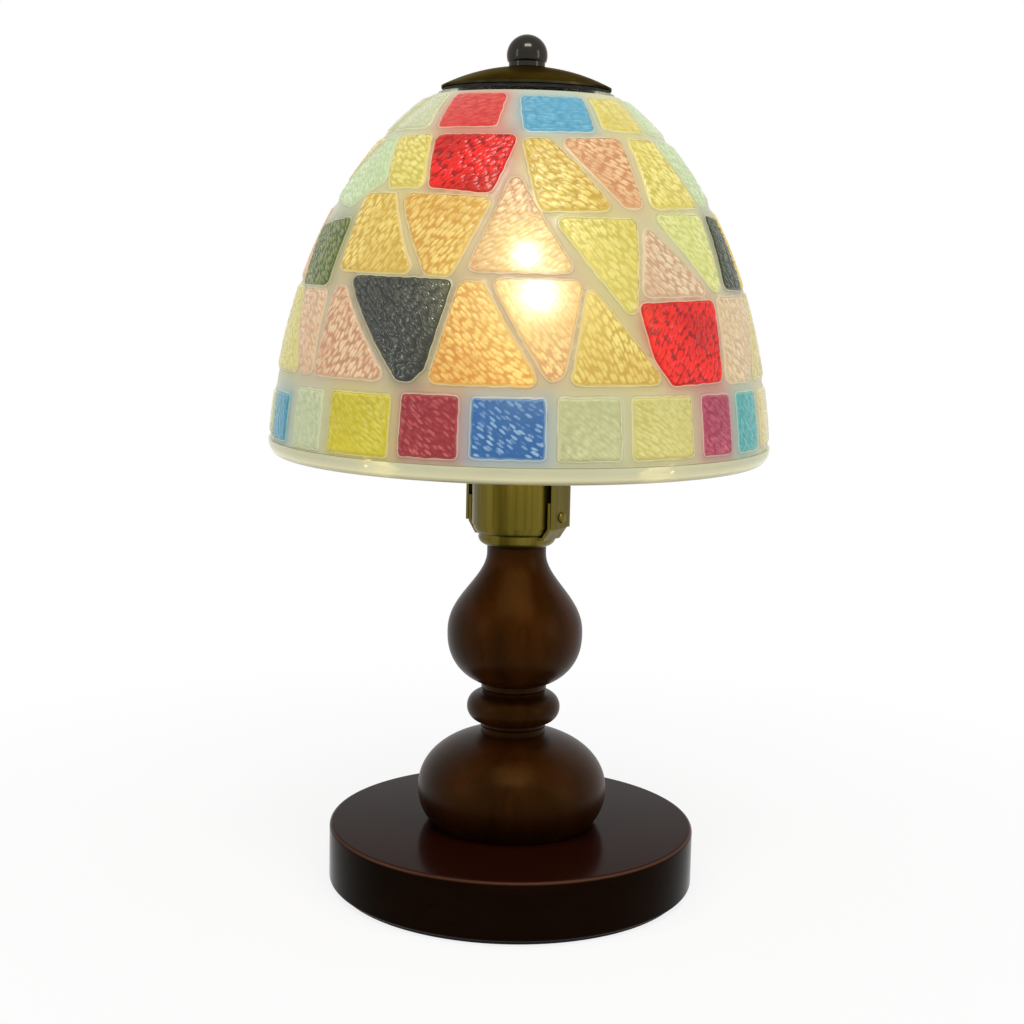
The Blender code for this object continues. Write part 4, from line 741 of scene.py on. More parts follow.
def make_base():
    pad, top = reach("base_pad"), high("base_pad")
    upper = arc((pad - CLEARANCE, top - CLEARANCE), CLEARANCE, 90, 0, 3)
    under = arc((pad - CLEARANCE, CLEARANCE), CLEARANCE, 0, -90, 3)
    turned("base_pad", [(0, top)] + upper + under + [(0, 0)], "felt")
    radius = reach("base_disc")
    bottom, top = low("base_disc"), high("base_disc")
    seat = top - SPIGOT_HEIGHT - CLEARANCE
    recess_top = bottom + RECESS_DEPTH
    outline = [(TUBE_HOLE_RADIUS, seat), (SPIGOT_RADIUS + CLEARANCE, seat), (SPIGOT_RADIUS + CLEARANCE, top)]
    outline += arc((radius - BASE_TOP_ROUND, top - BASE_TOP_ROUND), BASE_TOP_ROUND, 90, 0, 12)
    outline += arc((radius - BASE_FOOT_ROUND, bottom + BASE_FOOT_ROUND), BASE_FOOT_ROUND, 0, -90, 6)
    outline += [(RECESS_RADIUS, bottom), (RECESS_RADIUS, recess_top), (TUBE_HOLE_RADIUS, recess_top)]
    base = turned("base_disc", outline, "mahogany")
    shape = bmesh.new()
    bmesh.ops.create_cone(
        shape, cap_ends=True, segments=FINE_SIDES, radius1=INLET_RADIUS, radius2=INLET_RADIUS, depth=radius
    )
    middle = Matrix.Translation((0, RECESS_RADIUS / 2 + radius / 2, bottom + INLET_RISE))
    bmesh.ops.transform(shape, matrix=middle @ Matrix.Rotation(math.pi / 2, 4, "X"), verts=shape.verts)
    mesh = bpy.data.meshes.new("inlet_drill")
    shape.to_mesh(mesh)
    shape.free()
    drill = add_object("inlet_drill", mesh)
    hole = base.modifiers.new("Inlet", "BOOLEAN")
    hole.operation = "DIFFERENCE"
    hole.object = drill
    graph = bpy.context.evaluated_depsgraph_get()
    drilled = bpy.data.meshes.new_from_object(base.evaluated_get(graph))
    base.modifiers.clear()
    base.data = drilled
    bpy.data.objects.remove(drill)


def spigot(level):
    """The stepped end that enters the next piece."""
    top = level + SPIGOT_HEIGHT
    return [(TUBE_HOLE_RADIUS, top), (SPIGOT_RADIUS, top), (SPIGOT_RADIUS, level)]


def socket(level):
    """The hole that takes the last piece's stepped end."""
    radius = SPIGOT_RADIUS + CLEARANCE
    top = level + SPIGOT_HEIGHT + CLEARANCE
    return [(radius, level), (radius, top), (TUBE_HOLE_RADIUS, top)]


def make_foot():
    radius = reach("column_foot")
    bottom = low("column_foot") + SPIGOT_HEIGHT
    top = high("column_foot") - SPIGOT_HEIGHT
    belly = bottom + FOOT_BELLY_RISE
    shoulder = FOOT_SHOULDER_HEIGHT * swell(NECK_RADIUS, radius, FOOT_FULLNESS)
    outline = spigot(top) + [(NECK_RADIUS, top), (NECK_RADIUS, top - NECK_HEIGHT)]
    for step in range(2 * TURNING_STEPS + 1):
        rise = shoulder * math.cos(math.radians(90 * step / (2 * TURNING_STEPS)))
        outline.append((radius * swell(rise, FOOT_SHOULDER_HEIGHT, FOOT_FULLNESS), belly + rise))
    for step in range(1, TURNING_STEPS + 1):
        drop = FOOT_BELLY_RISE * step / TURNING_STEPS
        outline.append((radius * swell(drop, FOOT_SHOULDER_HEIGHT, FOOT_FULLNESS), belly - drop))
    under = bottom - SPIGOT_HEIGHT
    turned(
        "column_foot", outline + [(SPIGOT_RADIUS, bottom), (SPIGOT_RADIUS, under), (TUBE_HOLE_RADIUS, under)],
        "walnut",
    )


def make_ring():
    bottom = low("column_ring")
    top = high("column_ring") - SPIGOT_HEIGHT
    middle = (top + bottom) / 2
    half = (top - bottom) / 2 - RING_COVE
    cove = NECK_RADIUS - RING_COVE_DEPTH
    bead = []
    for step in range(2 * TURNING_STEPS + 1):
        rise = half * math.cos(math.radians(180 * step / (2 * TURNING_STEPS)))
        bulge = (reach("column_ring") - cove) * swell(rise, half, RING_FULLNESS)
        bead.append((cove + bulge, middle + rise))
    upper = arc((NECK_RADIUS, top - RING_COVE), (RING_COVE_DEPTH, RING_COVE), 90, 180, 5)
    under = arc((NECK_RADIUS, bottom + RING_COVE), (RING_COVE_DEPTH, RING_COVE), 180, 270, 5)
    turned("column_ring", spigot(top) + upper[:-1] + bead + under[1:] + socket(bottom), "walnut")


def make_vase():
    radius = reach("column_vase")
    bottom, top = low("column_vase"), high("column_vase")
    belly = bottom + VASE_BELLY_RISE
    neck = top - VASE_TOP_NECK
    drawn = VASE_BELLY_RISE * swell(NECK_RADIUS, radius, VASE_FULLNESS)
    outline = [(TUBE_HOLE_RADIUS, top), (VASE_TOP_RADIUS, top)]
    for step in range(2 * TURNING_STEPS):
        share = 1 - step / (2 * TURNING_STEPS)
        wave = (math.cos(math.pi * share**VASE_SHOULDER_FULLNESS) + 1) / 2
        outline.append((VASE_TOP_RADIUS + (radius - VASE_TOP_RADIUS) * wave, belly + (neck - belly) * share))
    for step in range(TURNING_STEPS + 1):
        drop = drawn * math.sin(math.radians(90 * step / TURNING_STEPS))
        outline.append((radius * swell(drop, VASE_BELLY_RISE, VASE_FULLNESS), belly - drop))
    turned("column_vase", outline + [(NECK_RADIUS, bottom)] + socket(bottom), "walnut")


def make_cup():
    bottom, top = low("check_ring"), high("check_ring")
    cup_bottom = low("socket_cup")
    edge = arc((VASE_TOP_RADIUS, top), (reach("check_ring") - VASE_TOP_RADIUS, top - bottom), 0, -90, 16)
    outline = [(NUT_HOLE_RADIUS, cup_bottom), (CUP_DISH_RADIUS, cup_bottom), (CUP_DISH_RADIUS, top)]
    turned("check_ring", outline + edge + [(NUT_HOLE_RADIUS, bottom)], "antique_brass")
    radius = reach("socket_cup")
    bottom, top = cup_bottom, high("socket_cup")
    floor = bottom + CUP_WALL
    dish_top = bottom + CUP_DISH_HEIGHT
    groove_top = dish_top + CUP_GROOVE_WIDTH
    groove = radius - CUP_GROOVE_DEPTH
    outline = [(radius - CUP_WALL, top)]
    outline += arc((radius - CUP_LIP_ROUND, top - CUP_LIP_ROUND), CUP_LIP_ROUND, 90, 0, 4)
    outline += [(radius, groove_top), (groove, groove_top)]
    outline += bezier(
        [(groove, dish_top), (groove, floor), (groove - CUP_WALL, bottom), (CUP_DISH_RADIUS, bottom)], 8
    )
    outline += [
        (NUT_HOLE_RADIUS, bottom), (NUT_HOLE_RADIUS, floor), (CUP_DISH_RADIUS - CUP_WALL, floor),
        (groove - CUP_WALL, dish_top), (radius - CUP_WALL, groove_top + CUP_WALL),
    ]
    turned("socket_cup", outline, "antique_brass")


def thread(bottom, top):
    """Depth of a rounded screw thread, fading out at both ends."""
    def depth(height, angle):
        if not bottom < height < top:
            return 0
        fade = smooth(min(height - bottom, top - height) / THREAD_FADE)
        return THREAD_DEPTH * fade * (1 - math.cos(2 * math.pi * height / THREAD_PITCH - angle)) / 2
    return depth


def wall(radius, bottom, top):
    """Outline of a threaded wall, from the top down."""
    return [(radius, top + (bottom - top) * row / THREAD_ROWS) for row in range(THREAD_ROWS + 1)]


def make_threads():
    """The lampholder's threaded shell and the bulb's screw cap that runs in it."""
    bottom, top = low("holder_shell"), high("holder_shell")
    radius = reach("holder_shell")
    outline = wall(radius, bottom, top) + wall(radius - SHELL_WALL, bottom, top)[::-1]
    turned("holder_shell", outline, "antique_brass", "stand", FINE_SIDES, thread(bottom, top))
    bottom, top = low("bulb_screw_cap"), high("bulb_screw_cap")
    radius = reach("bulb_screw_cap")
    inside = radius - SHELL_WALL
    floor = bottom + SHELL_WALL
    outline = wall(radius, floor, top) + [(radius - CLEARANCE, bottom)]
    outline += [(inside - BULB_CAP_FLANGE, bottom), (inside - BULB_CAP_FLANGE, floor)]
    outline += wall(inside, floor, top)[::-1]
    groove = thread(floor + SHELL_WALL, top - BULB_NECK_SEAT)
    turned("bulb_screw_cap", outline, "steel", "bulb", FINE_SIDES, groove)


def make_bulb():
    """The frosted envelope, and the capsule that glows in it on its two wires."""
    top = high("bulb_envelope")
    neck = high("bulb_screw_cap")
    radius = reach("bulb_envelope")
    centre = top - radius
    cheek = bezier(
        [(radius, centre), (radius, centre - BULB_CHEEK_DROP), (BULB_NECK_RADIUS, neck + BULB_NECK_RISE),
         (BULB_NECK_RADIUS, neck)],
        24,
    )
    outer = arc((0, centre), radius, 90, 0, 24) + cheek[1:] + [(BULB_NECK_RADIUS, low("bulb_envelope"))]
    inner = beside(outer, -BULB_WALL)[::-1]
    outer[0] = (0, top)
    inner[-1] = (0, top - BULB_WALL)
    turned("bulb_envelope", outer + inner, "frosted", "bulb", BULB_SIDES, slot="opal_glass")
    outline = arc((0, CAPSULE_HIGH - CAPSULE_RADIUS), CAPSULE_RADIUS, 90, 0, 8)
    outline += arc((0, CAPSULE_LOW + CAPSULE_RADIUS), CAPSULE_RADIUS, 0, -90, 8)
    outline[0] = (0, CAPSULE_HIGH)
    outline[-1] = (0, CAPSULE_LOW)
    mesh = turned_mesh("bulb_capsule", outline, BALL_STEPS)
    mesh.transform(Matrix.Translation((CAPSULE_ASIDE, 0, 0)))
    piece("bulb_capsule", mesh, [FINISHES["glowing"]], "bulb", "opal_glass")
    bottom, top = high("bulb_stem") - CAPSULE_RADIUS, CAPSULE_LOW + CLEARANCE
    outline = [(0, top), (WIRE_RADIUS, top), (WIRE_RADIUS, bottom), (0, bottom)]
    for name, side in (("bulb_wire_left", -1), ("bulb_wire_right", 1)):
        mesh = turned_mesh("bulb_wire", outline, WIRE_SIDES)
        for vertex in mesh.vertices:
            share = (vertex.co.z - bottom) / (CAPSULE_LOW - bottom)
            vertex.co.x += side * CAPSULE_RADIUS / 3 + CAPSULE_ASIDE * share
        piece(name, mesh, [FINISHES["steel"]], "bulb", "steel")


# Shade


def profile_point(share, depth):
    return tuple(map(float, dome_profile(share, depth)))


def make_glass():
    """The dome under the mosaic, and its thick rounded rim."""
    outside = BED_THICKNESS + CLEARANCE
    inside = outside + GLASS_WALL
    shares = [row / GLASS_ROWS for row in range(GLASS_ROWS, -1, -1)]
    foot = float(dome_radius(LEDGE)) - GLASS_RIM_ROUND
    neck = profile_point(1, inside)
    lip_bottom = LIP_TOP - GLASS_LIP_THICKNESS
    outline = [(SHADE_HOLE_RADIUS, LIP_TOP), (GLASS_LIP_RADIUS, LIP_TOP)]
    outline.append((GLASS_LIP_RADIUS, profile_point(1, outside)[1]))
    outline += [profile_point(share, outside) for share in shares[1:-1]]
    outline.append((profile_point(0, outside)[0], LEDGE))
    outline += arc((foot, LEDGE), (GLASS_RIM_ROUND, GLASS_RIM_HEIGHT), 0, -90, 16)
    outline.append((foot - GLASS_RIM_FOOT, RIM_BOTTOM))
    outline += [profile_point(share, inside) for share in shares[-1:0:-1]]
    outline += [neck, (neck[0] - GLASS_WALL, lip_bottom), (SHADE_HOLE_RADIUS, lip_bottom)]
    mesh = turned_mesh("shade_glass_turned", outline)
    for face in mesh.polygons:
        face.material_index = int(face.center.z < LEDGE + CLEARANCE)
    materials = [FINISHES["clear_glass"], FINISHES["milky"]]
    piece("shade_glass_turned", mesh, materials, "shade", "clear_glass", "shade_glass")


def rounded(corners, radius, step):
    """A closed outline through the corners, each one rounded, with a point at every step."""
    path = []
    for index, corner in enumerate(corners):
        here = Vector(corner)
        before = Vector(corners[index - 1]) - here
        after = Vector(corners[(index + 1) % len(corners)]) - here
        half = before.angle(after) / 2
        cut = min(radius / math.tan(half), before.length * CORNER_SHARE, after.length * CORNER_SHARE)
        start, end = here + before.normalized() * cut, here + after.normalized() * cut
        parts = max(2, round((math.pi - 2 * half) * cut * math.tan(half) / step))
        for part in range(parts + 1):
            t = part / parts
            path.append(start * (1 - t) ** 2 + here * 2 * t * (1 - t) + end * t * t)
    points = []
    for a, b in zip(path, path[1:] + path[:1]):
        parts = max(1, round((b - a).length / step))
        points += [a.lerp(b, part / parts) for part in range(parts)]
    return points


def inside(points, outline):
    """Which of many points lie inside an outline."""
    x, y = points[:, 0, None], points[:, 1, None]
    ends = np.roll(outline, -1, axis=0)
    x1, y1, x2, y2 = outline[:, 0], outline[:, 1], ends[:, 0], ends[:, 1]
    rise = np.where(y2 == y1, 1, y2 - y1)
    crossed = ((y1 > y) != (y2 > y)) & (x < x1 + (x2 - x1) * (y - y1) / rise)
    return crossed.sum(axis=1) % 2 == 1


def distances(points, outline):
    """Distance of each point to an outline."""
    ends = np.roll(outline, -1, axis=0) - outline
    away = points[:, None, :] - outline
    along = np.clip((away * ends).sum(axis=2) / np.maximum((ends * ends).sum(axis=1), TINY), 0, 1)
    return np.linalg.norm(away - along[:, :, None] * ends, axis=2).min(axis=1)


def lattice(lowest, highest, step):
    """Points in rows of triangles over a box."""
    points = []
    rise = step * ROW_RISE_SHARE
    for row in range(int((highest[1] - lowest[1]) / rise) + 1):
        for column in range(int((highest[0] - lowest[0]) / step) + 1):
            points.append((lowest[0] + (column + row % 2 / 2) * step, lowest[1] + row * rise))
    return np.array(points)


def mesh_flat(border, rings, step, margin):
    """Points and triangles that fill a border: its own points, those of rings inside it, and a lattice."""
    outline = np.array(border)
    grid = lattice(outline.min(axis=0), outline.max(axis=0), step)
    grid = grid[inside(grid, outline)]
    if len(grid):
        grid = grid[distances(grid, outline) > margin]
    points = [Vector(point) for point in border + rings] + [Vector(point) for point in grid]
    made = delaunay_2d_cdt(points, [], [list(range(len(border)))], 1, MERGE_DISTANCE)
    kept = np.array([tuple(points[origins[0]]) for origins in made[3]])
    order = {origins[0]: index for index, origins in enumerate(made[3]) if origins[0] < len(border)}
    return kept, made[2], [order[index] for index in range(len(border))]


def scatter(column, row, seed):
    """A share from 0 to 1 for each cell, always the same."""
    value = np.sin(column * SCATTER[0] + row * SCATTER[1] + seed * SCATTER[2]) * SCATTER[3]
    return value - np.floor(value)


def waves(flat, slant, seed):
    """Height of the hammered waves and how brightly each one catches the light, at places laid flat."""
    turn = math.radians(slant)
    along = flat[:, 0] * math.cos(turn) + flat[:, 1] * math.sin(turn)
    beyond = flat[:, 1] * math.cos(turn) - flat[:, 0] * math.sin(turn)
    drift = np.sin(along / WAVE_BEND + seed) + np.sin((along + beyond) / WAVE_BEND * 2.3 + seed * 1.7) / 2
    along = along / WAVE_LENGTH
    beyond = beyond / WAVE_WIDTH + WAVE_DRIFT_SHARE * drift
    nearest = np.full(len(flat), np.inf)
    lights = np.zeros(len(flat))
    for up in (-1, 0, 1):
        row = np.floor(beyond) + up
        offset = scatter(row, row, seed)
        for over in (-1, 0, 1):
            column = np.floor(along - offset) + over
            across = column + offset + 0.5 + WAVE_STRAY_SHARE * (scatter(column, row, seed) - 0.5)
            rise = row + 0.5 + WAVE_STRAY_SHARE * (scatter(row, column, seed + 1) - 0.5)
            away = np.hypot(along - across, beyond - rise)
            closer = away < nearest
            nearest[closer] = away[closer]
            lights[closer] = scatter(column, row, seed + 2)[closer]
    heights = smooth((CREST_SHARES[0] - nearest) / CREST_SHARES[1])
    return heights, heights * (WAVE_DULL_SHARE + (1 - WAVE_DULL_SHARE) * lights)


def name_seed(name):
    return sum(map(ord, name))


def all_tiles():
    """Each tile's colour, and its corners as degrees and shares of the way up."""
    tiles = {
        "skirt_" + name: (name, corner_pairs((left, under, right, under, right, upper, left, upper)))
        for name, (left, right, under, upper) in SKIRT_SHARES.items()
    }
    for name, (colour, *places) in TILE_SHARES.items():
        tiles[name] = (colour, corner_pairs(places))
    return tiles


def corner_pairs(places):
    """Corners as degrees and shares of the way up."""
    return [(turn, rise / 1000) for turn, rise in zip(places[::2], places[1::2])]


def band_radius(level):
    """Radius of the dome at a share of its band, about which the mosaic is laid flat."""
    return float(dome_profile(level, 0)[0])


def tile_outline(name, corners):
    """A tile's slightly wavering outline laid flat, and the radius it is laid flat about."""
    radius = band_radius(sum(share for _, share in corners) / len(corners))
    flat = [(math.radians(turn) * radius, share * BAND_LENGTH) for turn, share in corners]
    path = rounded(flat, TILE_CORNER_ROUND, TILE_STEP)
    shift = Vector((0, 0, name_seed(name)))
    growth = ROW_GROWTHS.get(name.split("_")[0], TILE_GROWTH)
    wavered = []
    for index, point in enumerate(path):
        side = (path[(index + 1) % len(path)] - path[index - 1]).normalized()
        push = noise.noise(Vector((point.x, point.y, 0)) / TILE_WAVER_LENGTH + shift)
        wavered.append(tuple(point + Vector((-side.y, side.x)) * (TILE_WAVER * push - growth)))
    return wavered, radius


def tile_parts(name, corners):
    """The flat meshes of a tile, its face and its underside, and how far it is from its edge."""
    border, radius = tile_outline(name, corners)
    rings = []
    for offset in TILE_EDGE_RINGS:
        rings += beside(border, offset, closed=True)
    flat, faces, rim = mesh_flat(border, rings, TILE_STEP, TILE_EDGE_RINGS[-1] + TILE_STEP / 2)
    under, under_faces, under_rim = mesh_flat(border, [], UNDERSIDE_STEP, UNDERSIDE_STEP / 3)
    return {
        "name": name, "flat": flat, "away": distances(flat, np.array(border)),
        "face": (np.degrees(flat[:, 0] / radius), flat[:, 1] / BAND_LENGTH, faces, rim),
        "under": (np.degrees(under[:, 0] / radius), under[:, 1] / BAND_LENGTH, under_faces, under_rim),
    }


def shine(turn, share):
    """Painted hot spots: how much of the bulb's light is painted at places of the shade, its core and its halo.
    """
    cores = np.zeros(len(turn))
    halos = np.zeros(len(turn))
    radius = dome_profile(share, 0)[0]
    for spot_turn, spot_share, core_width, halo_width in HOT_SPOTS:
        away = np.hypot(np.radians(turn - spot_turn) * radius, (share - spot_share) * BAND_LENGTH)
        cores = np.maximum(cores, np.minimum(CORE_FULLNESS * np.exp(-((away / core_width) ** 2)), 1))
        halos = np.maximum(halos, np.exp(-((away / halo_width) ** 2)))
    return cores, halos


def add_tile(shape, parts, shift, material_index):
    """Adds one tile to the lists of a mesh: its waved face, its sides and its underside."""
    name = parts["name"]
    turn, share, faces, rim = parts["face"]
    crest, light = waves(parts["flat"], WAVE_SLANTS.get(name, WAVE_SLANT), shift + name_seed(name))
    strength = SOFT_RELIEF_SHARE if name.startswith(SOFT_ROWS) and name not in CRISP_TILES else 1
    level = smooth(parts["away"] / TILE_EDGE_WIDTH)
    depth = TILE_EDGE_DEPTH * (1 - level) ** 2 + WAVE_HEIGHT * strength * (1 - crest) * level
    brightness = light * level * strength + SOFT_BRIGHTNESS * (1 - strength)
    start = len(shape["points"])
    shape["points"] += dome_points(turn + shift, share, depth)
    for key, values in zip(TILE_VALUES, (brightness, 1 - level, *shine(turn, share))):
        shape[key] += list(values)
    below = len(shape["points"])
    under_turn, under_share, under_faces, under_rim = parts["under"]
    shape["points"] += dome_points(under_turn + shift, under_share, TILE_UNDERSIDE)
    for key in TILE_VALUES:
        shape[key] += [UNDERSIDE_WAVE if key == "wave" else 0.0] * len(under_turn)
    shape["faces"] += [[start + index for index in face] for face in faces]
    shape["faces"] += [[below + index for index in reversed(face)] for face in under_faces]
    for index, (here, under) in enumerate(zip(rim, under_rim)):
        after = (index + 1) % len(rim)
        shape["faces"].append([start + rim[after], start + here, below + under, below + under_rim[after]])
    shape["indices"] += [material_index] * (len(faces) + len(under_faces) + len(rim))


def add_tiles(name, parts, shift, colours, glasses, slot, node_name):
    """One piece of several tiles; colours has each one's."""
    shape = {key: [] for key in ("points", "faces", "indices") + TILE_VALUES}
    kinds = sorted(set(colours))
    for tile, colour in zip(parts, colours):
        add_tile(shape, tile, shift, kinds.index(colour))
    mesh = bpy.data.meshes.new(name)
    mesh.from_pydata(shape["points"], [], shape["faces"])
    mesh.polygons.foreach_set("material_index", shape["indices"])
    for key in TILE_VALUES:
        mesh.attributes.new(key, "FLOAT", "POINT").data.foreach_set("value", shape[key])
    mesh.shade_smooth()
    mesh.set_sharp_from_angle(angle=MOSAIC_SHARP_ANGLE)
    piece(name, mesh, [glasses[colour] for colour in kinds], "shade", slot, node_name)


def make_tiles(tiles):
    """The loose tiles one by one, and the others row by row, at the front and at the back."""
    glasses = {
        name: hammered(name + "_glass", *colours, **GLASS_KINDS.get(name, {}))
        for name, colours in COLOURS.items()
    }
    parts = {name: tile_parts(name, corners) for name, (_, corners) in tiles.items()}
    for side, shift in SIDE_TURNS.items():
        for name, back_colour in BACK_COLOURS.items():
            colour = tiles[name][0] if side == "front" else back_colour
            loose = side + "_" + name
            add_tiles(
                "glass_" + loose, [parts[name]], shift, [colour], glasses, "tile_" + colour, "tile_" + loose
            )
        for row in ROWS:
            names = [name for name in tiles if name.startswith(row) and name not in BACK_COLOURS]
            add_tiles(
                "mosaic_" + side + "_" + row, [parts[name] for name in names], shift,
                [tiles[name][0] for name in names], glasses, "mosaic", "mosaic_bed",
            )


def seam(radius):
    """The path on which the two halves of the grout meet, with points added along it."""
    corners = corner_pairs(SEAM_SHARES)
    points = []
    for (turn, share), (next_turn, next_share) in zip(corners, corners[1:]):
        length = math.hypot(math.radians(next_turn - turn) * radius, (next_share - share) * BAND_LENGTH)
        parts = max(1, round(length / GROUT_STEP))
        for part in range(parts):
            way = part / parts
            points.append((turn + (next_turn - turn) * way, share + (next_share - share) * way))
    return points + corners[-1:]


def grout_half(tiles):
    """Places of the grout's front half, its triangles between the tiles, and the tiles' outlines."""
    radius = band_radius(corner_pairs(SEAM_SHARES)[1][1])
    left = seam(radius)
    right = [(turn + HALF_TURN, share) for turn, share in left]
    turns = [left[0][0] + column for column in range(1, HALF_TURN)]
    border = [(turn, 0) for turn in turns] + right + [(turn, 1) for turn in turns[::-1]] + left[::-1]
    places = list(border)
    rings = [list(range(len(border)))]
    outlines = {}
    lines = []
    for name, (_, corners) in tiles.items():
        path, about = tile_outline(name, corners)
        outline = [(math.degrees(x / about), y / BAND_LENGTH) for x, y in path]
        outlines[name] = np.array(outline)
        rings.append(list(range(len(places), len(places) + len(outline))))
        places += outline
        for x, y in beside(path, -GROUT_LINE, closed=True):
            lines.append((math.degrees(x / about), y / BAND_LENGTH))
    scale = np.array((math.radians(radius), BAND_LENGTH))
    flat_border = np.array(border) * scale
    grid = lattice(flat_border.min(axis=0), flat_border.max(axis=0), GROUT_STEP)
    grid = grid[inside(grid, flat_border)]
    grid = grid[distances(grid, flat_border) > GROUT_STEP / 2]
    for outline in outlines.values():
        flat = outline * scale
        near = ((grid > flat.min(axis=0) - GROUT_STEP) & (grid < flat.max(axis=0) + GROUT_STEP)).all(axis=1)
        drop = np.zeros(len(grid), bool)
        drop[near] = inside(grid[near], flat) | (distances(grid[near], flat) < GROUT_STEP / 2)
        grid = grid[~drop]
    places += [tuple(place) for place in grid / scale] + lines
    flat = [Vector((turn * scale[0], share * scale[1])) for turn, share in places]
    made = delaunay_2d_cdt(flat, [], rings, 1, MERGE_DISTANCE)
    kept = np.array([places[origins[0]] for origins in made[3]])
    faces = [face for face, origins in zip(made[2], made[5]) if len(origins) == 1]
    used = sorted({index for face in faces for index in face})
    order = {index: place for place, index in enumerate(used)}
    return kept[used], [[order[index] for index in face] for face in faces], outlines


def grout_tints(places, outlines, tiles, side):
    """Nearness to the glass, and the grout's colour with the painted coloured glow that the lit glass beside
    spills on it, at each place.
    """
    radius = dome_profile(places[:, 1], 0)[0]
    nearest = np.full(len(places), np.inf)
    weights = np.zeros(len(places))
    colours = np.zeros((len(places), 3))
    for name, outline in outlines.items():
        colour = BACK_COLOURS[name] if side == "back" and name in BACK_COLOURS else tiles[name][0]
        shade = sum(np.array(linear(tone)[:3]) for tone in COLOURS[colour]) / 2
        for shift in (-HALF_TURN, 0, HALF_TURN):
            moved = outline + (shift, 0)
            lowest, highest = moved.min(axis=0), moved.max(axis=0)
            window = (highest - lowest) / 2 + TINT_WINDOW
            close = (abs(places - (lowest + highest) / 2) < window).all(axis=1)
            if not close.any():
                continue
            scale = np.array((math.radians(float(radius[close].mean())), BAND_LENGTH))
            away = distances(places[close] * scale, moved * scale)
            nearest[close] = np.minimum(nearest[close], away)
            weight = np.exp(-away / TINT_REACH)
            weights[close] += weight
            colours[close] += weight[:, None] * shade
    own = np.array(linear(GROUT_COLOUR)[:3])
    share = np.clip(weights * TINT_SHARE, 0, TINT_MOST)[:, None]
    return nearest, own * (1 - share) + share * colours / np.maximum(weights, TINY)[:, None]


def site(point):
    return tuple(round(c, MERGE_DIGITS) for c in point)


def make_grout(tiles):
    """A closed shell of grout with a hole for every tile."""
    places, faces, outlines = grout_half(tiles)
    points, inner, tints, nears, triangles = [], [], [], [], []
    for side, shift in SIDE_TURNS.items():
        nearest, colours = grout_tints(places, outlines, tiles, side)
        level = smooth(nearest / GROUT_EDGE_WIDTH)
        depth = GROUT_EDGE_DEPTH + (GROUT_MIDDLE_DEPTH - GROUT_EDGE_DEPTH) * level
        triangles += [[len(points) + index for index in face] for face in faces]
        points += dome_points(places[:, 0] + shift, places[:, 1], depth)
        inner += dome_points(places[:, 0] + shift, places[:, 1], BED_THICKNESS)
        tints += [tuple(colour) + (1,) for colour in colours]
        nears += list(nearest)
    shape = bmesh.new()
    tint_layer = shape.verts.layers.float_color.new("tint")
    near_layer = shape.verts.layers.float.new("near")
    for point, tint, near in zip(points + inner, tints + tints, nears + nears):
        vertex = shape.verts.new(point)
        vertex[tint_layer] = tint
        vertex[near_layer] = near
    shape.verts.ensure_lookup_table()
    for face in triangles:
        shape.faces.new([shape.verts[index] for index in face])
        shape.faces.new([shape.verts[len(points) + index] for index in reversed(face)])
    bmesh.ops.remove_doubles(shape, verts=shape.verts[:], dist=MERGE_DISTANCE)
    open_edges = [edge for edge in shape.edges if len(edge.link_faces) == 1]
    sites = {site(point): site(under) for point, under in zip(points, inner)}
    found = {site(vertex.co): vertex for vertex in shape.verts if vertex.link_edges}
    mates = {}
    for vertex in {vertex for edge in open_edges for vertex in edge.verts}:
        under = sites.get(site(vertex.co))
        if under in found:
            mates[vertex] = found[under]
    for edge in open_edges:
        a, b = edge.verts
        if a in mates and b in mates:
            first, second = (a, b) if edge.link_loops[0].vert == a else (b, a)
            shape.faces.new((second, first, mates[first], mates[second]))
    mesh = bpy.data.meshes.new("mosaic_grout")
    shape.to_mesh(mesh)
    shape.free()
    mesh.shade_smooth()
    mesh.set_sharp_from_angle(angle=MOSAIC_SHARP_ANGLE)
    piece("mosaic_grout", mesh, [grout()], "shade", "mosaic", "mosaic_bed")


# Cap and finial


def make_cap():
    radius = reach("shade_cap")
    bottom, top = low("shade_cap"), high("shade_cap")
    rise = top - bottom - CAP_EDGE
    sphere = (radius**2 + rise**2) / (2 * rise)
    outer = []
    for step in range(BALL_STEPS + 1):
        across = STUD_HOLE_RADIUS + (radius - STUD_HOLE_RADIUS) * step / BALL_STEPS
        outer.append((across, top - sphere + math.sqrt(sphere**2 - across**2)))
    outer.append((radius, bottom))
    inner = beside(outer, -CAP_WALL)[::-1]
    inner[0] = (radius - CAP_WALL, bottom)
    inner[-1] = (STUD_HOLE_RADIUS, outer[0][1] - CAP_WALL)
    turned("shade_cap", outer + inner, "bronze", "cap")


def make_finial():
    bottom, top = low("finial_collar") - COLLAR_SEAT, low("finial_ball") - BALL_GAP
    radius = reach("finial_collar")
    outline = [(STUD_HOLE_RADIUS, top), (radius, top), (radius, bottom), (STUD_HOLE_RADIUS, bottom)]
    turned("finial_collar", outline, "black_bronze", "finial_seat", FINE_SIDES)
    bottom, top = low("finial_ball"), high("finial_ball")
    radius = (top - bottom) / (1 + BALL_CUT / reach("finial_ball"))
    centre = top - radius
    ball = arc((0, centre), radius, 90, math.degrees(-math.asin((centre - bottom) / radius)), BALL_STEPS)
    bore_top = bottom + BALL_BORE_DEPTH
    outline = [(0, top)] + ball[1:]
    outline += [(STUD_HOLE_RADIUS, bottom), (STUD_HOLE_RADIUS, bore_top), (0, bore_top)]
    turned("finial_ball", outline, "black_bronze", "finial", FINE_SIDES)


# Stage


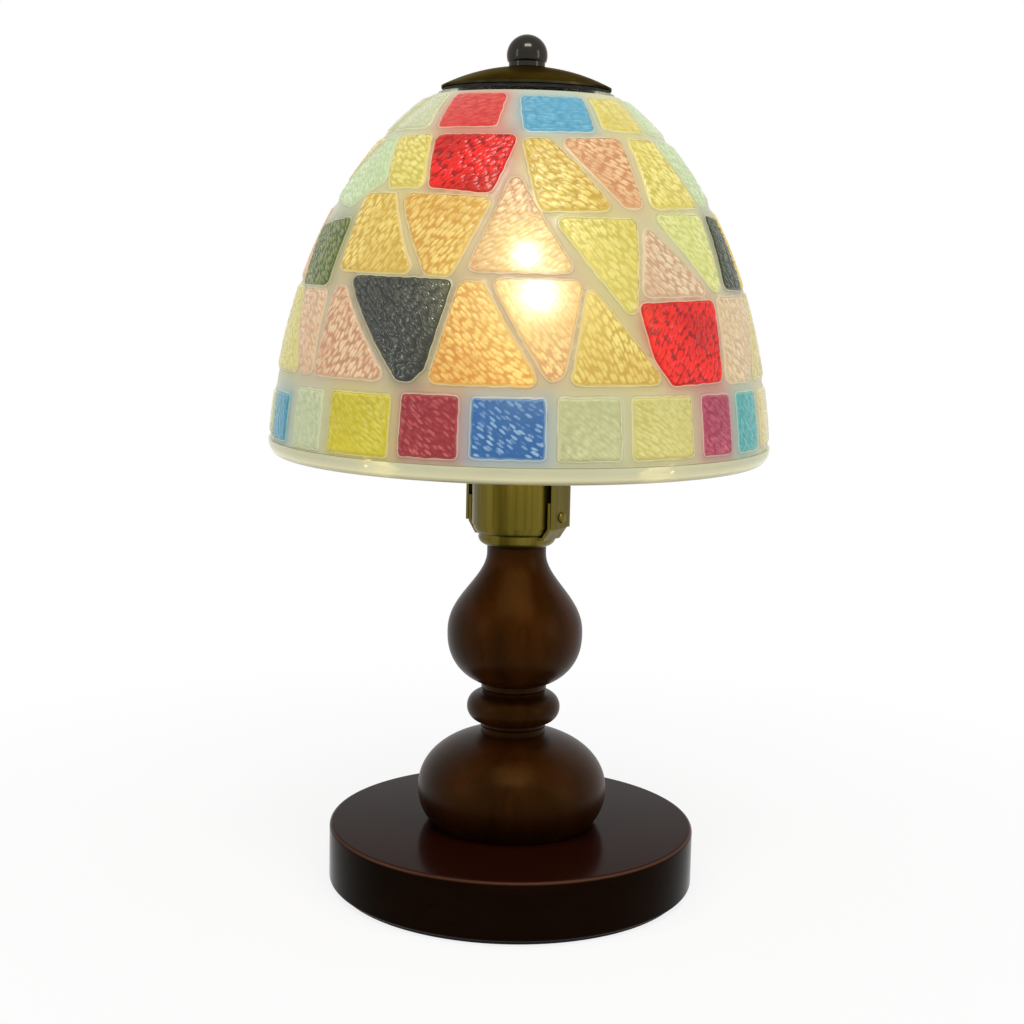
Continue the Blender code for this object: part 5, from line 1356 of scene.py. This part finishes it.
def make_camera():
    data = bpy.data.cameras.new("camera")
    data.lens = CAMERA_LENS
    data.sensor_width = CAMERA_SENSOR
    camera = add_object("camera", data)
    pitch = Matrix.Rotation(math.pi / 2 - CAMERA_PITCH, 4, "X")
    camera.matrix_world = Matrix.Translation(CAMERA_PLACE) @ pitch @ Matrix.Rotation(CAMERA_ROLL, 4, "Z")
    bpy.context.scene.camera = camera


def area_light(name, size, energy, place, way):
    data = bpy.data.lights.new(name, "AREA")
    data.shape = "RECTANGLE"
    data.size, data.size_y = size
    data.energy = energy
    light = add_object(name, data)
    light.location = place
    light.rotation_euler = way.to_track_quat("-Z", "Y").to_euler()
    return light


def make_lights():
    """Softboxes that share a plain level with the world, and the light that the lit shade throws down."""
    for name, (azimuth, elevation, distance, size, share) in SOFTBOXES.items():
        turn, rise = math.radians(azimuth), math.radians(elevation)
        away = Vector((math.sin(turn) * math.cos(rise), -math.cos(turn) * math.cos(rise), math.sin(rise)))
        area_light(name, size, share * math.pi**2 * distance**2, SOFTBOX_AIM + away * distance, -away)
    glow = area_light("bulb_glow", GLOW_SIZE, GLOW_POWER, GLOW_PLACE, GLOW_AIM - GLOW_PLACE)
    glow.data.color = linear(GLOW_COLOUR)[:3]
    glow.visible_camera = False
    glow.visible_transmission = False


def seen(tree):
    """1 for rays from the camera, a gloss or a glass, which see the background as white."""
    rays = node(tree, "ShaderNodeLightPath").outputs
    first = reckon(tree, "MAXIMUM", rays["Is Camera Ray"], rays["Is Glossy Ray"])
    return reckon(tree, "MAXIMUM", first, rays["Is Transmission Ray"])


def make_world():
    world = bpy.data.worlds.new("studio")
    bpy.context.scene.world = world
    world.use_nodes = True
    tree = world.node_tree
    strength = between(tree, seen(tree), 0, 1, WORLD_LEVEL, 1)
    feed(tree.nodes["Background"], Color=linear(WHITE), Strength=strength)


def make_floor():
    """A wide pale floor that keeps a soft shadow."""
    mesh = bpy.data.meshes.new("floor")
    shape = bmesh.new()
    bmesh.ops.create_circle(shape, cap_ends=True, segments=FINE_SIDES, radius=FLOOR_RADIUS)
    shape.to_mesh(mesh)
    shape.free()
    made = bpy.data.materials.new("floor")
    made.use_nodes = True
    tree = made.node_tree
    tree.nodes.remove(tree.nodes["Principled BSDF"])
    matt = node(tree, "ShaderNodeBsdfDiffuse", {"Color": blend(tree, texture(tree, 30, 2), *FLOOR_COLOURS)})
    white = node(tree, "ShaderNodeEmission", {"Color": linear(WHITE), "Strength": 1})
    away = node(tree, "ShaderNodeVectorMath", {0: place(tree)}, operation="LENGTH").outputs["Value"]
    share = reckon(tree, "MULTIPLY", seen(tree), between(tree, away, *FLOOR_FADE, FLOOR_WHITE_SHARE, 1))
    mixed = node(tree, "ShaderNodeMixShader", {0: share, 1: matt.outputs[0], 2: white.outputs[0]})
    tree.links.new(mixed.outputs[0], tree.nodes["Material Output"].inputs["Surface"])
    mesh.materials.append(made)
    add_object("floor", mesh)


# By the material slots in model.glb, and a few more
FINISHES = {
    "felt": moulded("felt", (10, 10, 10), (26, 26, 26), 0.95, 1400, 0.0002),
    # The base's top face is painted lighter, and its top edge gets a painted highlight line
    "mahogany": wood(
        "mahogany", (12, 6, 3), (24, 10, 5), (0.25, 1.4, 1.4), 0.16, 1.08,
        (reach("base_disc"), high("base_disc")),
    ),
    "walnut": wood("walnut", (30, 12, 2), (58, 28, 5), (1.5, 1.5, 0.22), 0.34, 1.19),
    "steel": metal("steel", (168, 170, 172), (196, 198, 200), 0.32, (1, 1, 8)),
    "antique_brass": metal(
        "antique_brass", (66, 58, 14), (112, 100, 40), 0.36, (1, 1, 0.05), 120, drawn=(1, 1, 0.03)
    ),
    "bronze": metal("bronze", (40, 35, 22), (64, 57, 38), 0.42, (1, 1, 6), rim=BRONZE_RIM_TINT),
    "black_bronze": metal(
        "black_bronze", (26, 22, 14), (36, 31, 22), 0.22, (1, 1, 4), bump=0.000005, lacquer=0.5,
        rim=BRONZE_RIM_TINT,
    ),
    "black_plastic": moulded("black_plastic", (18, 18, 18), (30, 30, 30), 0.5, 700, 0.00005),
    "rubber": moulded("rubber", (16, 12, 8), (28, 22, 16), 0.8, 500, 0.00005),
    "clear_glass": glass("clear_glass", (236, 240, 226), 0.12, 1.0, 0.0, 1.2),
    "opal_glass": glass("stem_glass", (240, 240, 230), 0.1, 0.9, 0.0, 1.45),
    "frosted": glass("opal_glass", (250, 228, 182), 0.3, 0.45, 0.05, 1.3),
    "milky": rim_glass(),
    "glowing": glowing("glowing_capsule", (255, 236, 190)),
}


def main():
    bpy.context.scene.view_settings.view_transform = "Standard"
    make_camera()
    make_lights()
    make_world()
    make_floor()
    make_base()
    make_foot()
    make_ring()
    make_vase()
    make_cup()
    make_threads()
    make_bulb()
    make_glass()
    tiles = all_tiles()
    make_tiles(tiles)
    make_grout(tiles)
    make_cap()
    make_finial()
    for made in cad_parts.values():
        for slot in made.material_slots:
            slot.material = FINISHES.get(slot.name.split(".")[0], slot.material)


main()
